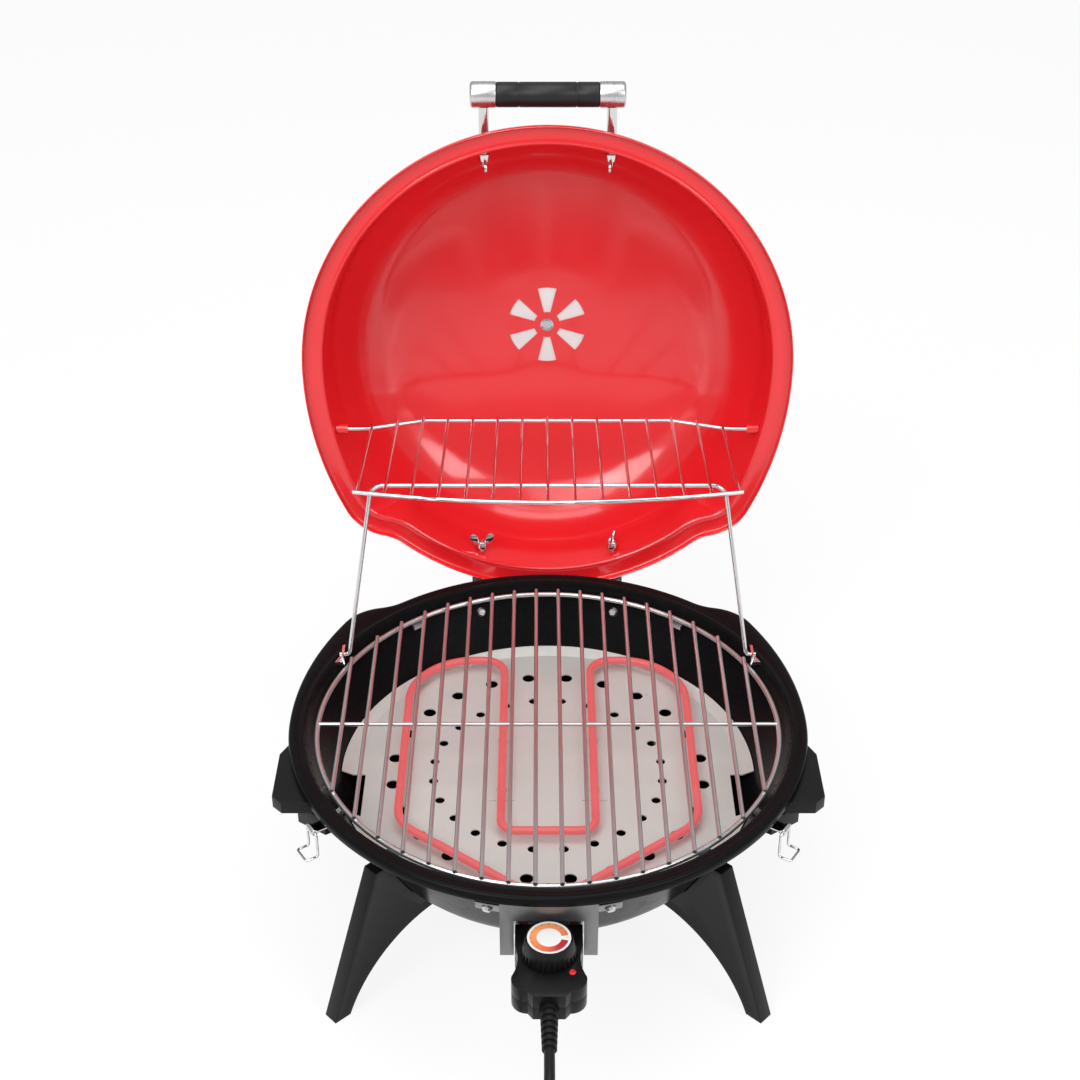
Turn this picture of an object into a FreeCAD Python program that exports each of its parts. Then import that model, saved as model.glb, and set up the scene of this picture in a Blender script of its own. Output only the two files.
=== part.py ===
import FreeCAD, Part
import math
import os
import re
import Sketcher
from types import SimpleNamespace
from FreeCAD import Placement, Rotation, Vector

# Countertop electric grill on four legs, with a round bowl, a hinged lid and a warming rack
# that swings up as the lid opens. The origin lies on the table under the middle of the bowl:
# X to the right, Y to the rear, Z up. The model stands with its lid open.

# Driving sizes, in millimetres and degrees
driving_sizes = {
    # clearances and the overrun of every cut
    "cut_over": 2, "seat_gap": 0.2, "run_gap": 0.06, "body_gap": 0.5,
    # outline of the rim: a circle with an ear at each rear corner
    "rim_radius": 245, "ear_sweep_radius": 345, "ear_sweep_angle": 27,
    "ear_corner_radius": 50, "ear_notch_radius": 50,
    # bowl
    "bowl_wall": 1.6, "rim_top": 206, "hem_depth": 9, "rim_width": 14,
    "rim_inner_radius": "=rim_radius - rim_width", "throat_step": 2,
    "throat_radius": "=rim_inner_radius - throat_step", "belly_inset": 49,
    "belly_radius": "=throat_radius - belly_inset", "belly_height": 105, "floor_inset": 15,
    "floor_radius": "=belly_radius - floor_inset", "floor_height": 88,
    # cooking grate
    "grate_clear": 12, "grate_ring_radius": "=rim_inner_radius - grate_clear", "grate_ring_wire": 5,
    "grate_bar_wire": 4, "grate_bar_count": 18, "grate_side_inset": 23.5,
    "grate_bar_pitch": "=2 * (grate_ring_radius - grate_side_inset) / (grate_bar_count - 1)",
    "grate_top": 202.5, "grate_weld": 0.5,
    "rest_width": 14, "rest_height": 4, "rest_reach": 16, "rest_angle": 52,
    # reflector pan under the element
    "pan_inset": 57, "pan_radius": "=rim_radius - pan_inset", "pan_height": 138, "pan_wall": 1.2,
    "pan_rim_rise": 5, "pan_hole_count": 24, "outer_ring_inset": 38, "ring_spacing": 39,
    "pan_outer_ring": "=pan_radius - outer_ring_inset", "pan_outer_hole": 12.6,
    "pan_inner_ring": "=pan_outer_ring - ring_spacing", "pan_inner_hole": 9,
    "notch_inset": 12, "pan_notch_start": "=pan_radius - notch_inset", "pan_notch_front": 65,
    "pan_notch_length": 60,
    # heating element and its supports
    "element_tube": 8, "element_height": 150, "terminal_half_span": 22, "terminal_inset": 9,
    "terminal_reach": "=rim_radius - terminal_inset", "terminal_run": 60,
    "element_bend_front": "=terminal_reach - terminal_run", "element_shoulder": 86, "outer_run_inset": 105,
    "element_outer_run": "=rim_radius - outer_run_inset", "element_rear_inset": 80,
    "element_rear": "=rim_radius - element_rear_inset", "element_inner_run": 44, "element_inner_front": 97,
    "terminal_bend": 30, "shoulder_bend": 40, "rear_bend": 65, "inner_bend": 22, "front_bend": 15,
    "support_wall": 1.2, "support_width": 24, "support_front": 44, "support_rear": 53,
    "support_post": 10, "support_post_inset": 12,
    # chrome hood round the terminals
    "hood_width": 84, "hood_setback": 8, "hood_front": "=rim_radius - hood_setback", "hood_height": 63,
    "hood_wall": 1.6, "hood_depth": 52,
    "hood_leg": 12, "hood_band": 23, "hood_hem_gap": 0.5, "hood_flange": 22, "hood_flange_height": 16,
    "hood_flange_level": 160, "plate_wall": 2, "plate_setback": 21,
    "plate_reach": "=hood_front - plate_setback", "plate_height": 24,
    # fasteners
    "screw_head": 10, "screw_head_height": 3.2, "screw_shank": 4, "screw_length": 12,
    "nut_across": 8, "nut_height": 3.5, "wing_hub": 12, "wing_hub_height": 8,
    "wing_span": 27, "wing_height": 14, "wing_wall": 2.5,
    # legs
    "leg_angle": 43, "foot_splay": 30, "leg_foot_reach": "=rim_radius + foot_splay", "leg_top_inset": 26,
    "leg_top_reach": "=rim_radius - leg_top_inset", "leg_top_height": 150, "leg_depth": 135,
    "leg_inner_reach": "=leg_foot_reach - leg_depth", "leg_width": 16, "arch_radius": 125, "arch_shift": 4,
    "arch_centre_reach": "=leg_inner_reach + arch_shift", "arch_centre_drop": 53, "leg_screw_inset": 13,
    "leg_screw_reach": "=floor_radius - leg_screw_inset",
    # side handles
    "handle_slab_height": 12.5, "handle_overhang": 5, "handle_slab_out": "=rim_radius + handle_overhang",
    "handle_slab_depth": 45, "handle_slab_in": "=handle_slab_out - handle_slab_depth",
    "handle_slab_rear": 26, "handle_slab_front": 112, "handle_corner": 9,
    "handle_block_height": 18, "handle_block_inset": 17,
    "handle_block_out": "=rim_radius - handle_block_inset", "handle_block_depth": 53,
    "handle_block_in": "=handle_block_out - handle_block_depth",
    "handle_block_rear": 58, "handle_block_front": 121, "handle_block_taper": 17, "handle_bolt_angle": 22,
    "handle_bolt_spread": 10, "handle_bolt_height": 173,
    # hinges
    "hinge_setback": 2, "hinge_y": "=rim_radius - hinge_setback", "hinge_z": 189, "hinge_half_span": 70,
    "hinge_pin": 5, "hinge_barrel": 10,
    "leaf_width": 21, "leaf_wall": 2.5, "leaf_offset": 8.5, "leaf_over_flange": 2.4,
    "leaf_pad_height": 24, "leaf_pad_wall": 3, "ear_wall": 3, "bracket_height": 18,
    "bracket_wall": 3, "hinge_bolt_height": 181, "lid_open_angle": 96,
    # lid
    "lid_wall": 1.6, "lid_seat": 1, "skirt_gap": 2, "skirt_drop": 9.6, "lid_flange": 15,
    "lid_side_inset": 21,
    "lid_side_radius": "=rim_radius - lid_side_inset", "lid_side_height": 47, "crease_inset": 60,
    "crease_radius": "=lid_side_radius - crease_inset", "crease_height": 110,
    "crown_radius": 52, "lid_height": 130, "shoulder_bulge": 9, "crown_bulge": 2.5,
    # vent in the crown
    "vent_count": 6, "vent_inner": 14, "vent_outer": 42, "vent_open_angle": 28,
    "damper_radius": 48, "damper_wall": 1.2, "damper_tab": 9, "damper_tab_height": 12,
    "vent_bolt": 6, "vent_bolt_head": 14, "vent_bolt_head_height": 4,
    # lid handle
    "post_half_span": 62, "post_diameter": 10, "post_level": 232, "bar_standoff": 26,
    "bar_reach": "=rim_radius + bar_standoff",
    "bar_length": 150, "ferrule_diameter": 25, "ferrule_length": 25, "grip_diameter": 24,
    "stud_diameter": 5, "bar_edge": 2.5,
    # warming rack: bail on the bowl, panel carried by the bail and the lid
    "bail_pivot_y": 98, "bail_pivot_z": 207.5, "bail_wire": 4, "lug_inset": 20.93,
    "lug_face": "=sqrt((rim_radius - lug_inset) ^ 2 - bail_pivot_y ^ 2)", "bail_pin_reach": 5,
    "bail_pin_end": "=lug_face + bail_pin_reach", "bail_foot_gap": 4.5,
    "bail_foot": "=lug_face - bail_foot_gap",
    "bail_lean": 26, "bail_top": "=bail_foot - bail_lean", "bail_foot_bend": 5, "bail_top_bend": 14,
    "lug_wall": 2.5, "lug_length": 16, "lug_rise": 5.5, "lug_foot": 4,
    "lug_grate_gap": 0.7,
    "rack_pivot_y": 72, "rack_pivot_z": 219, "rack_wire": 4, "rack_inset": 20.16,
    "rack_end": "=sqrt((rim_radius - rack_inset) ^ 2 - rack_pivot_y ^ 2)", "rack_bow": 23, "bow_inset": 25,
    "rack_bow_start": "=rack_end - bow_inset", "bow_rise": 58,
    "rack_bow_flat": "=rack_bow_start - bow_rise",
    "rack_bow_bend": 30, "rack_front_side": 24, "rack_front_middle": 49, "rack_front_inset": 27,
    "rack_front_end": "=rack_end - rack_front_inset", "rack_cross_wire": 3, "rack_cross_count": 15,
    "cross_inset": 4, "rack_cross_pitch": "=2 * (rack_front_end - cross_inset) / (rack_cross_count - 1)",
    "rack_weld": 1, "bushing_outer": 10, "bushing_cover": 6, "bushing_start": "=rack_end - bushing_cover",
    # latches
    "latch_angle": 57, "latch_standoff": 6.5, "latch_reach": "=rim_radius + latch_standoff",
    "latch_level": 187, "latch_wire": 2.4,
    "latch_half_width": 9, "latch_arm": 25, "latch_lip": 12, "latch_bend": 2.4,
    "sleeve_length": 11.6, "sleeve_outer": 6, "latch_plate": 2, "latch_plate_height": 14,
    # controller
    "case_top": 159, "case_split": 146, "case_bottom": 132, "case_wall": 2.4, "case_setback": 11,
    "case_rear": "=hood_front - case_setback", "case_rear_width": 58, "neck_run": 24,
    "case_neck": "=case_rear + neck_run", "waist_run": 38, "case_waist": "=case_rear + waist_run",
    "case_waist_width": 53, "case_run": 60, "case_shoulder": "=case_rear + case_run",
    "case_front_width": 63, "cheek_run": 11, "case_cheek": "=case_shoulder + cheek_run",
    "case_cheek_width": 57, "brow_run": 16, "case_brow": "=case_shoulder + brow_run",
    "case_brow_width": 36, "case_nose": 22, "case_nose_width": 27,
    "case_front": "=case_shoulder + case_nose",
    "knob_offset": 34.5, "knob_y": "=case_rear + knob_offset", "knob_cap": 40, "knob_skirt": 48,
    "knob_height": 19, "knob_flute_count": 30, "knob_flute": 4.4, "dial_diameter": 37, "dial_wall": 0.8,
    "spindle_diameter": 6, "spindle_grip": 7, "spindle_flange": 12, "lens_x": 19.5,
    "lens_offset": 55, "lens_y": "=case_rear + lens_offset",
    "lens_diameter": 6, "lens_rise": 1.2,
    "switch_width": 30, "switch_length": 24, "switch_height": 10, "socket_outer": 11,
    "socket_length": 22, "probe_diameter": 6, "probe_length": 62, "probe_flange": 9,
    # supply cord
    "cord_diameter": 9, "cord_exit_height": 143, "relief_length": 42, "relief_root": 15.6,
    "relief_tip": 12.6, "relief_rib": 2, "relief_rib_count": 6, "relief_collar": 16.8,
    "relief_collar_length": 4,
    "relief_setback": 2, "coil_pitch": 9.8, "coil_inner": 41.5, "coil_half_turns": 7,
    "coil_lift": 1.9, "coil_tail": 40, "tie_wall": 1.2, "tie_width": 12, "tie_gap": 0.9,
    "plug_floor_gap": 0.3, "plug_length": 38, "plug_width": 25, "plug_height": 21,
    "plug_edge": 4, "blade_width": 6.4, "blade_wall": 1.5, "blade_length": 16,
    "blade_half_span": 6.35, "earth_pin": 4.8, "earth_length": 19, "earth_offset": 11.9,
}

doc = FreeCAD.newDocument("electric_grill")
sheet = doc.addObject("Spreadsheet::Sheet", "sizes")
for row, alias in enumerate(driving_sizes, 1):
    sheet.set("A%d" % row, alias)
    sheet.setAlias("B%d" % row, alias)
for row, value in enumerate(driving_sizes.values(), 1):
    sheet.set("B%d" % row, str(value))
doc.recompute()
S = SimpleNamespace(**{alias: sheet.get(alias) for alias in driving_sizes})

along_x = Rotation(Vector(0, 1, 0), 90)
along_rear = Rotation(Vector(1, 0, 0), -90)
along_front = Rotation(Vector(1, 0, 0), 90)
sides = {"left": -1, "right": 1}
exported = []


# Helpers that bind document objects to the sheet
def linked(formula):
    def with_sheet(word):
        return "sizes." + word.group() if word.group() in driving_sizes else word.group()
    return re.sub(r"[a-z][a-z_]+", with_sheet, formula)


def bind(obj, **formulas):
    for prop, formula in formulas.items():
        obj.setExpression(prop.replace("__", "."), linked(formula))
    return obj


def primitive(kind, placement=None, **formulas):
    obj = doc.addObject("Part::" + kind, kind.lower())
    if placement:
        obj.Placement = placement
    for prop, formula in formulas.items():
        if isinstance(formula, str):
            bind(obj, **{prop: formula})
        else:
            setattr(obj, prop, formula)
    return obj


def box_at(x, y, z, length, width, height):
    return primitive("Box", Length=length, Width=width, Height=height,
                     Placement__Base__x=x, Placement__Base__y=y, Placement__Base__z=z)


def plain(shape):
    obj = doc.addObject("Part::Feature", "form")
    obj.Shape = shape
    return obj


def fused(objs):
    obj = doc.addObject("Part::MultiFuse", "fusion")
    obj.Shapes = objs
    obj.Refine = True
    return obj


def cut(base, tools):
    obj = doc.addObject("Part::Cut", "cutting")
    obj.Base = base
    obj.Tool = fused(tools) if len(tools) > 1 else tools[0]
    return obj


def grouped(objs):
    obj = doc.addObject("Part::Compound", "group")
    obj.Links = objs
    return obj


def piece(label, obj):
    obj.Label = label
    exported.append(obj)
    return obj


def sketch_on(body, role, offset=None):
    plane = next(o for o in body.Origin.OriginFeatures if o.Role == role)
    sketch = body.newObject("Sketcher::SketchObject", "sketch")
    sketch.AttachmentSupport = [(plane, "")]
    sketch.MapMode = "FlatFace"
    if offset:
        bind(sketch, AttachmentOffset__Base__z=offset)
    return sketch


def held_at(sketch, item, point, x, y):
    for kind, formula in (("DistanceX", x), ("DistanceY", y)):
        number = sketch.addConstraint(Sketcher.Constraint(kind, -1, 1, item, point, 1))
        sketch.setExpression("Constraints[%d]" % number, linked(formula))


def outline(sketch, corners):
    # Every corner is held by its two distances from the sketch origin
    count = len(corners)
    turn = 2 * math.pi / count
    seeds = [Vector(math.cos(turn * i), math.sin(turn * i), 0) for i in range(count)]
    for i in range(count):
        sketch.addGeometry(Part.LineSegment(seeds[i], seeds[(i + 1) % count]), False)
    for i in range(count):
        sketch.addConstraint(Sketcher.Constraint("Coincident", i, 2, (i + 1) % count, 1))
        held_at(sketch, i, 1, *corners[i])


def circle(sketch, x, y, radius):
    item = sketch.addGeometry(Part.Circle(Vector(0, 0, 0), Vector(0, 0, 1), 1), False)
    held_at(sketch, item, 3, x, y)
    number = sketch.addConstraint(Sketcher.Constraint("Radius", item, 1))
    sketch.setExpression("Constraints[%d]" % number, linked(radius))


def padded(role, draw, length, offset=None, midplane=False):
    body = doc.addObject("PartDesign::Body", "body")
    sketch = sketch_on(body, role, offset)
    draw(sketch)
    pad = body.newObject("PartDesign::Pad", "pad")
    pad.Profile = sketch
    pad.Midplane = midplane
    bind(pad, Length=length)
    doc.recompute()
    return body


def pocketed(body, role, draw):
    sketch = sketch_on(body, role)
    draw(sketch)
    pocket = body.newObject("PartDesign::Pocket", "pocket")
    pocket.Profile = sketch
    pocket.Type = "ThroughAll"
    pocket.Midplane = True
    before = body.Tip.BaseFeature.Shape.Volume
    doc.recompute()
    print("pocket takes %.1f mm3" % (before - body.Shape.Volume))
    return body


def revolved(corners):
    # The profile lies in the XZ plane and turns round Z
    body = doc.addObject("PartDesign::Body", "body")
    sketch = sketch_on(body, "XZ_Plane")
    outline(sketch, corners)
    turned = body.newObject("PartDesign::Revolution", "turned")
    turned.Profile = sketch
    turned.ReferenceAxis = (sketch, ["V_Axis"])
    turned.Angle = 360
    doc.recompute()
    return body


# Helpers that make shapes with plain geometry
def polar(radius, degrees, z=0):
    return Vector(radius * math.cos(math.radians(degrees)), radius * math.sin(math.radians(degrees)), z)


def turned_solid(profile):
    face = Part.Face(Part.makePolygon([Vector(r, 0, z) for r, z in profile + profile[:1]]))
    return face.revolve(Vector(0, 0, 0), Vector(0, 0, 1), 360)


def rounded_path(points, radii):
    # Straight runs joined by tangent arcs, one radius for each inner point
    edges = []
    start = points[0]
    for before, corner, after, radius in zip(points, points[1:], points[2:], radii):
        into = (corner - before).normalize()
        out = (after - corner).normalize()
        turn = into.getAngle(out)
        reach = radius * math.tan(turn / 2)
        inward = (out - into).normalize()
        middle = corner + inward * (radius / math.cos(turn / 2) - radius)
        edges.append(Part.LineSegment(start, corner - into * reach).toShape())
        edges.append(Part.Arc(corner - into * reach, middle, corner + out * reach).toShape())
        start = corner + out * reach
    edges.append(Part.LineSegment(start, points[-1]).toShape())
    return Part.Wire(edges)


def tube(path, diameter):
    first = path.OrderedEdges[0]
    ring = Part.makeCircle(diameter / 2, path.OrderedVertexes[0].Point,
                           first.tangentAt(first.FirstParameter))
    return path.makePipeShell([Part.Wire(ring)], True, False)


def straight_wire(start, end, diameter):
    return Part.makeCylinder(diameter / 2, (end - start).Length, start, end - start)


def mirrored(shape):
    return shape.mirror(Vector(0, 0, 0), Vector(1, 0, 0))


# Places shared by several pieces
throat_height = S.rim_top - S.hem_depth
wall_rise = throat_height - S.belly_height
wall_spread = S.throat_radius + S.bowl_wall - S.belly_radius
wall_tilt = math.degrees(math.atan2(wall_spread, wall_rise))
grate_ring_level = S.grate_top - S.grate_bar_wire + S.grate_weld - S.grate_ring_wire / 2


def bowl_radius(z):
    return S.belly_radius + wall_spread * (z - S.belly_height) / wall_rise


def bowl_inner_radius(z):
    low = S.belly_height + S.bowl_wall / 2
    near = S.belly_radius - S.bowl_wall
    return near + (S.throat_radius - near) * (z - low) / (throat_height - low)


def wall_step(gap):
    # Thickness, square to the wall, of a skin that is moved out and down by a gap
    return gap * (math.cos(math.radians(wall_tilt)) + math.sin(math.radians(wall_tilt)))


def wall_frame(azimuth, z, inside=False):
    # A place on the bowl wall whose own Z axis points away from the metal
    radius = bowl_radius(z) - S.bowl_wall - S.seat_gap if inside else bowl_radius(z) + S.seat_gap
    tilt = 90 + wall_tilt
    lean = Rotation(Vector(0, 1, 0), tilt - 180 if inside else tilt)
    return Placement(polar(radius, azimuth, z), Rotation(Vector(0, 0, 1), azimuth) * lean)


def bowl_outer(gap):
    return turned_solid([
        (0, S.floor_height - gap), (S.floor_radius + gap, S.floor_height - gap),
        (S.belly_radius + gap, S.belly_height - gap),
        (S.throat_radius + S.bowl_wall + gap, throat_height - gap),
        (S.rim_inner_radius + S.bowl_wall + gap, S.rim_top), (0, S.rim_top)])


def bowl_inner(gap):
    above = S.rim_top + S.hem_depth
    return turned_solid([
        (0, S.floor_height + S.bowl_wall + gap),
        (S.floor_radius - S.bowl_wall / 2 - gap, S.floor_height + S.bowl_wall + gap),
        (S.belly_radius - S.bowl_wall - gap, S.belly_height + S.bowl_wall / 2),
        (S.throat_radius - gap, throat_height), (S.rim_inner_radius - gap, S.rim_top),
        (S.rim_inner_radius - gap, above), (0, above)])


# Outline of the rim, moved outwards by an offset
ear_sweep_shift = S.ear_sweep_radius - S.rim_radius
ear_corner_centre = polar(S.ear_sweep_radius - S.ear_corner_radius,
                          S.ear_sweep_angle) - Vector(ear_sweep_shift, 0, 0)


def circles_meet(radius, centre, other_radius):
    # Crossing of a circle round the origin and a second circle, on the rear side
    span = centre.Length
    along = (radius ** 2 - other_radius ** 2 + span ** 2) / (2 * span)
    aside = math.sqrt(radius ** 2 - along ** 2)
    axis = Vector(centre).normalize()
    return axis * along + Vector(-axis.y, axis.x, 0) * aside


ear_notch_centre = circles_meet(S.rim_radius + S.ear_notch_radius, ear_corner_centre,
                                S.ear_corner_radius + S.ear_notch_radius)
ear_corner_end = math.degrees(math.atan2(ear_notch_centre.y - ear_corner_centre.y,
                                         ear_notch_centre.x - ear_corner_centre.x))
ear_notch_end = math.degrees(math.atan2(ear_notch_centre.y, ear_notch_centre.x))


def rim_arcs(offset, z):
    # Points of the outline in threes: start, middle and end of each arc, from the right side to the left
    lift = Vector(0, 0, z)
    sweep_centre = lift - Vector(ear_sweep_shift, 0, 0)
    corner_centre = lift + ear_corner_centre
    notch_centre = lift + ear_notch_centre
    sweep = S.ear_sweep_radius + offset
    corner = S.ear_corner_radius + offset
    notch = S.ear_notch_radius - offset
    main = S.rim_radius + offset
    right = [
        [sweep_centre + polar(sweep, a) for a in (0, S.ear_sweep_angle / 2, S.ear_sweep_angle)],
        [corner_centre + polar(corner, a)
         for a in (S.ear_sweep_angle, (S.ear_sweep_angle + ear_corner_end) / 2, ear_corner_end)],
        [notch_centre - polar(notch, a)
         for a in (ear_corner_end, (ear_corner_end + ear_notch_end) / 2, ear_notch_end)]]
    left = [[Vector(-p.x, p.y, p.z) for p in reversed(arc)] for arc in reversed(right)]
    rear = [[lift + polar(main, a) for a in (ear_notch_end, 90, 180 - ear_notch_end)]]
    front = [[lift + polar(main, a) for a in (180, 225, 270)],
             [lift + polar(main, a) for a in (270, 315, 360)]]
    return right + rear + left + front


def rim_wire(offset, z):
    return Part.Wire([Part.Arc(*arc).toShape() for arc in rim_arcs(offset, z)])


def rim_plate(offset, z, height):
    return Part.Face(rim_wire(offset, z)).extrude(Vector(0, 0, height))


# Bowl: pressed sheet with a turned-down hem, pierced for the terminals and the bolts
bowl_envelope = plain(bowl_outer(S.seat_gap))
bowl_cavity = plain(bowl_inner(S.seat_gap))
handle_bolt_frames = {
    side: [wall_frame(angle, S.handle_bolt_height, True)
           for angle in (270 + sign * (90 - S.handle_bolt_angle - S.handle_bolt_spread / 2),
                         270 + sign * (90 - S.handle_bolt_angle + S.handle_bolt_spread / 2))]
    for side, sign in sides.items()}
hinge_bolt_turn = math.degrees(math.asin(S.hinge_half_span / bowl_radius(S.hinge_bolt_height)))
hinge_bolt_frames = {
    side: wall_frame(90 - sign * hinge_bolt_turn, S.hinge_bolt_height, True) for side,
    sign in sides.items()}
hood_screw_side = (S.hood_width + S.hood_flange) / 2
hood_screw_turn = math.degrees(math.asin(hood_screw_side / bowl_radius(S.hood_flange_level)))
hood_screw_frames = [
    wall_frame(270 + sign * hood_screw_turn, S.hood_flange_level) * Placement(
        Vector(0, 0, wall_step(S.hood_wall + S.seat_gap)), Rotation()) for sign in sides.values()]
leg_angles = {"front_left": 180 + S.leg_angle, "front_right": -S.leg_angle,
              "rear_left": 180 - S.leg_angle, "rear_right": S.leg_angle}
leg_screw_frames = {
    name: Placement(polar(S.leg_screw_reach, angle, S.floor_height + S.bowl_wall), Rotation())
    for name, angle in leg_angles.items()}
all_bolt_frames = (sum(handle_bolt_frames.values(), []) + list(hinge_bolt_frames.values())
                   + hood_screw_frames + list(leg_screw_frames.values()))


def shank_hole(frame):
    hole = Part.makeCylinder(S.screw_shank / 2 + S.run_gap, S.screw_length + 2 * S.cut_over,
                             Vector(0, 0, -S.screw_length - S.cut_over))
    hole.Placement = frame
    return hole


def wall_pierce(x, diameter):
    start = S.element_bend_front
    return Part.makeCylinder(diameter / 2 + S.body_gap, S.terminal_reach - start,
                             Vector(x, -start, S.element_height), Vector(0, -1, 0))


def bowl_shell():
    hem = rim_plate(0, throat_height, S.hem_depth).cut(
        rim_plate(-S.bowl_wall, throat_height - S.cut_over, S.hem_depth + 2 * S.cut_over))
    flange = rim_plate(0, S.rim_top - S.bowl_wall, S.bowl_wall)
    shell = hem.fuse([flange, bowl_outer(0)]).cut(bowl_inner(0))
    holes = [shank_hole(frame) for frame in all_bolt_frames]
    holes += [wall_pierce(sign * S.terminal_half_span, S.element_tube) for sign in sides.values()]
    holes.append(wall_pierce(0, S.probe_diameter))
    return shell.cut(holes).removeSplitter()


piece("bowl_shell", plain(bowl_shell()))


# Fasteners: the seat of the head is at the frame, with the shank below it
def screw(frame):
    body = revolved([("0", "-screw_length"), ("screw_shank / 2", "-screw_length"), ("screw_shank / 2", "0"),
                     ("screw_head / 2", "0"), ("screw_head / 2", "screw_head_height / 3"),
                     ("screw_head / 3", "screw_head_height"), ("0", "screw_head_height")])
    body.Placement = frame
    return body


def hex_bolt(frame):
    head = primitive("Prism", Circumradius="nut_across / 2", Height="nut_height")
    shank = primitive("Cylinder", Placement(Vector(0, 0, -S.screw_length), Rotation()),
                      Radius="screw_shank / 2", Height="screw_length + nut_height + screw_shank / 2")
    bolt = fused([head, shank])
    bolt.Placement = frame
    return bolt


# Cooking grate: a wire ring with parallel bars, on four rests of the bowl
def cooking_grate():
    ring = Part.makeTorus(S.grate_ring_radius, S.grate_ring_wire / 2, Vector(0, 0, grate_ring_level))
    wires = []
    bar_level = S.grate_top - S.grate_bar_wire / 2
    for i in range(int(S.grate_bar_count)):
        x = (i - (S.grate_bar_count - 1) / 2) * S.grate_bar_pitch
        reach = math.sqrt(S.grate_ring_radius ** 2 - x ** 2) + S.grate_bar_wire / 2
        wires.append(straight_wire(Vector(x, -reach, bar_level), Vector(x, reach, bar_level),
                                   S.grate_bar_wire))
    across = Vector(S.grate_ring_radius, 0, 0)
    cross_level = Vector(0, 0, bar_level - S.grate_bar_wire + S.grate_weld)
    wires.append(straight_wire(cross_level - across, cross_level + across, S.grate_bar_wire))
    return ring.fuse(wires)


piece("cooking_grate", plain(cooking_grate()))
rests = []
for angle in (S.rest_angle, 180 - S.rest_angle, 180 + S.rest_angle, -S.rest_angle):
    spin = Rotation(Vector(0, 0, 1), angle)
    tab = Part.makeBox(S.rest_reach, S.rest_width, S.rest_height,
                       Vector(S.throat_radius - S.rest_reach, -S.rest_width / 2,
                              grate_ring_level - S.grate_ring_wire / 2 - S.rest_height - S.seat_gap))
    tab.Placement = Placement(Vector(0, 0, 0), spin)
    rests.append(plain(tab.common(bowl_cavity.Shape)))
piece("grate_rests", grouped(rests))


# Reflector pan: a pierced disc whose rim rests against the bowl wall
def reflector_pan():
    rim_level = S.pan_height + S.pan_rim_rise
    rim = bowl_inner_radius(rim_level) - S.seat_gap
    pan = turned_solid([(0, S.pan_height), (S.pan_radius, S.pan_height), (rim, rim_level),
                        (rim, rim_level + S.pan_wall), (S.pan_radius, S.pan_height + S.pan_wall),
                        (0, S.pan_height + S.pan_wall)])
    depth = S.pan_wall + 2 * S.cut_over
    low = S.pan_height - S.cut_over
    holes = []
    for i in range(int(S.pan_hole_count)):
        angle = (i + 0.5) * 360 / S.pan_hole_count
        holes.append(Part.makeCylinder(S.pan_outer_hole / 2, depth, polar(S.pan_outer_ring, angle, low)))
        holes.append(Part.makeCylinder(S.pan_inner_hole / 2, depth, polar(S.pan_inner_ring, angle, low)))
    notch_reach = S.rim_radius - S.pan_notch_start
    notch = Part.makeBox(notch_reach, S.pan_notch_length, depth + S.pan_rim_rise,
                         Vector(S.pan_notch_start, -S.pan_notch_front, low))
    return pan.cut(holes + [notch, mirrored(notch)])


piece("reflector_pan", plain(reflector_pan()))


# Heating element: one bent tube, its two cold ends through the front of the bowl
def element_points():
    half = [(S.terminal_half_span, -S.terminal_reach), (S.terminal_half_span, -S.element_bend_front),
            (S.element_outer_run, -S.element_shoulder), (S.element_outer_run, S.element_rear),
            (S.element_inner_run, S.element_rear), (S.element_inner_run, -S.element_inner_front)]
    return [Vector(x, y, S.element_height) for x, y in half + [(-x, y) for x, y in reversed(half)]]


element_bends = [S.terminal_bend, S.shoulder_bend, S.rear_bend, S.inner_bend, S.front_bend]
element_path = rounded_path(element_points(), element_bends + element_bends[::-1])
piece("heating_element", plain(tube(element_path, S.element_tube)))
pan_top = "pan_height + pan_wall"
post_height = "element_height - element_tube / 2 - seat_gap - pan_height - pan_wall"
for side, sign in sides.items():
    inner = "%d * element_inner_run - support_width / 2" % sign
    strip = box_at(inner, "-support_front", pan_top,
                   "support_width", "support_front + support_rear", "support_wall")
    posts = [box_at("%d * element_inner_run - support_post / 2" % sign, y, pan_top,
                    "support_post", "support_wall", post_height)
             for y in ("support_post_inset - support_front", "support_rear - support_post_inset")]
    piece("element_support_" + side, fused([strip] + posts))


# Chrome hood in front of the terminals, with a flange on the bowl at each side
def terminal_hood():
    top = throat_height - S.hood_hem_gap
    low = top - S.hood_height
    half = S.hood_width / 2
    wall = S.hood_wall
    outer = Part.makeBox(S.hood_width, S.hood_depth, S.hood_height, Vector(-half, -S.hood_front, low))
    hollow = Part.makeBox(S.hood_width - 2 * wall, S.hood_depth, S.hood_height,
                          Vector(wall - half, wall - S.hood_front, low - wall))
    mouth = Part.makeBox(S.hood_width - 2 * S.hood_leg, wall + 2 * S.cut_over,
                         S.hood_height - S.hood_band + S.cut_over,
                         Vector(S.hood_leg - half, -S.hood_front - S.cut_over, low - S.cut_over))
    flanges = Part.makeBox(S.hood_width + 2 * S.hood_flange, S.hood_depth, S.hood_flange_height,
                           Vector(-half - S.hood_flange, -S.hood_front,
                                  S.hood_flange_level - S.hood_flange_height / 2))
    flanges = flanges.common(bowl_outer(S.seat_gap + wall))
    inside = Part.makeBox(S.hood_width - 2 * wall, S.hood_depth, S.hood_height,
                          Vector(wall - half, -S.hood_front, low))
    hood = outer.cut([hollow, mouth]).fuse(flanges.cut(inside)).cut(bowl_envelope.Shape)
    return hood.cut([shank_hole(frame) for frame in hood_screw_frames])


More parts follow.
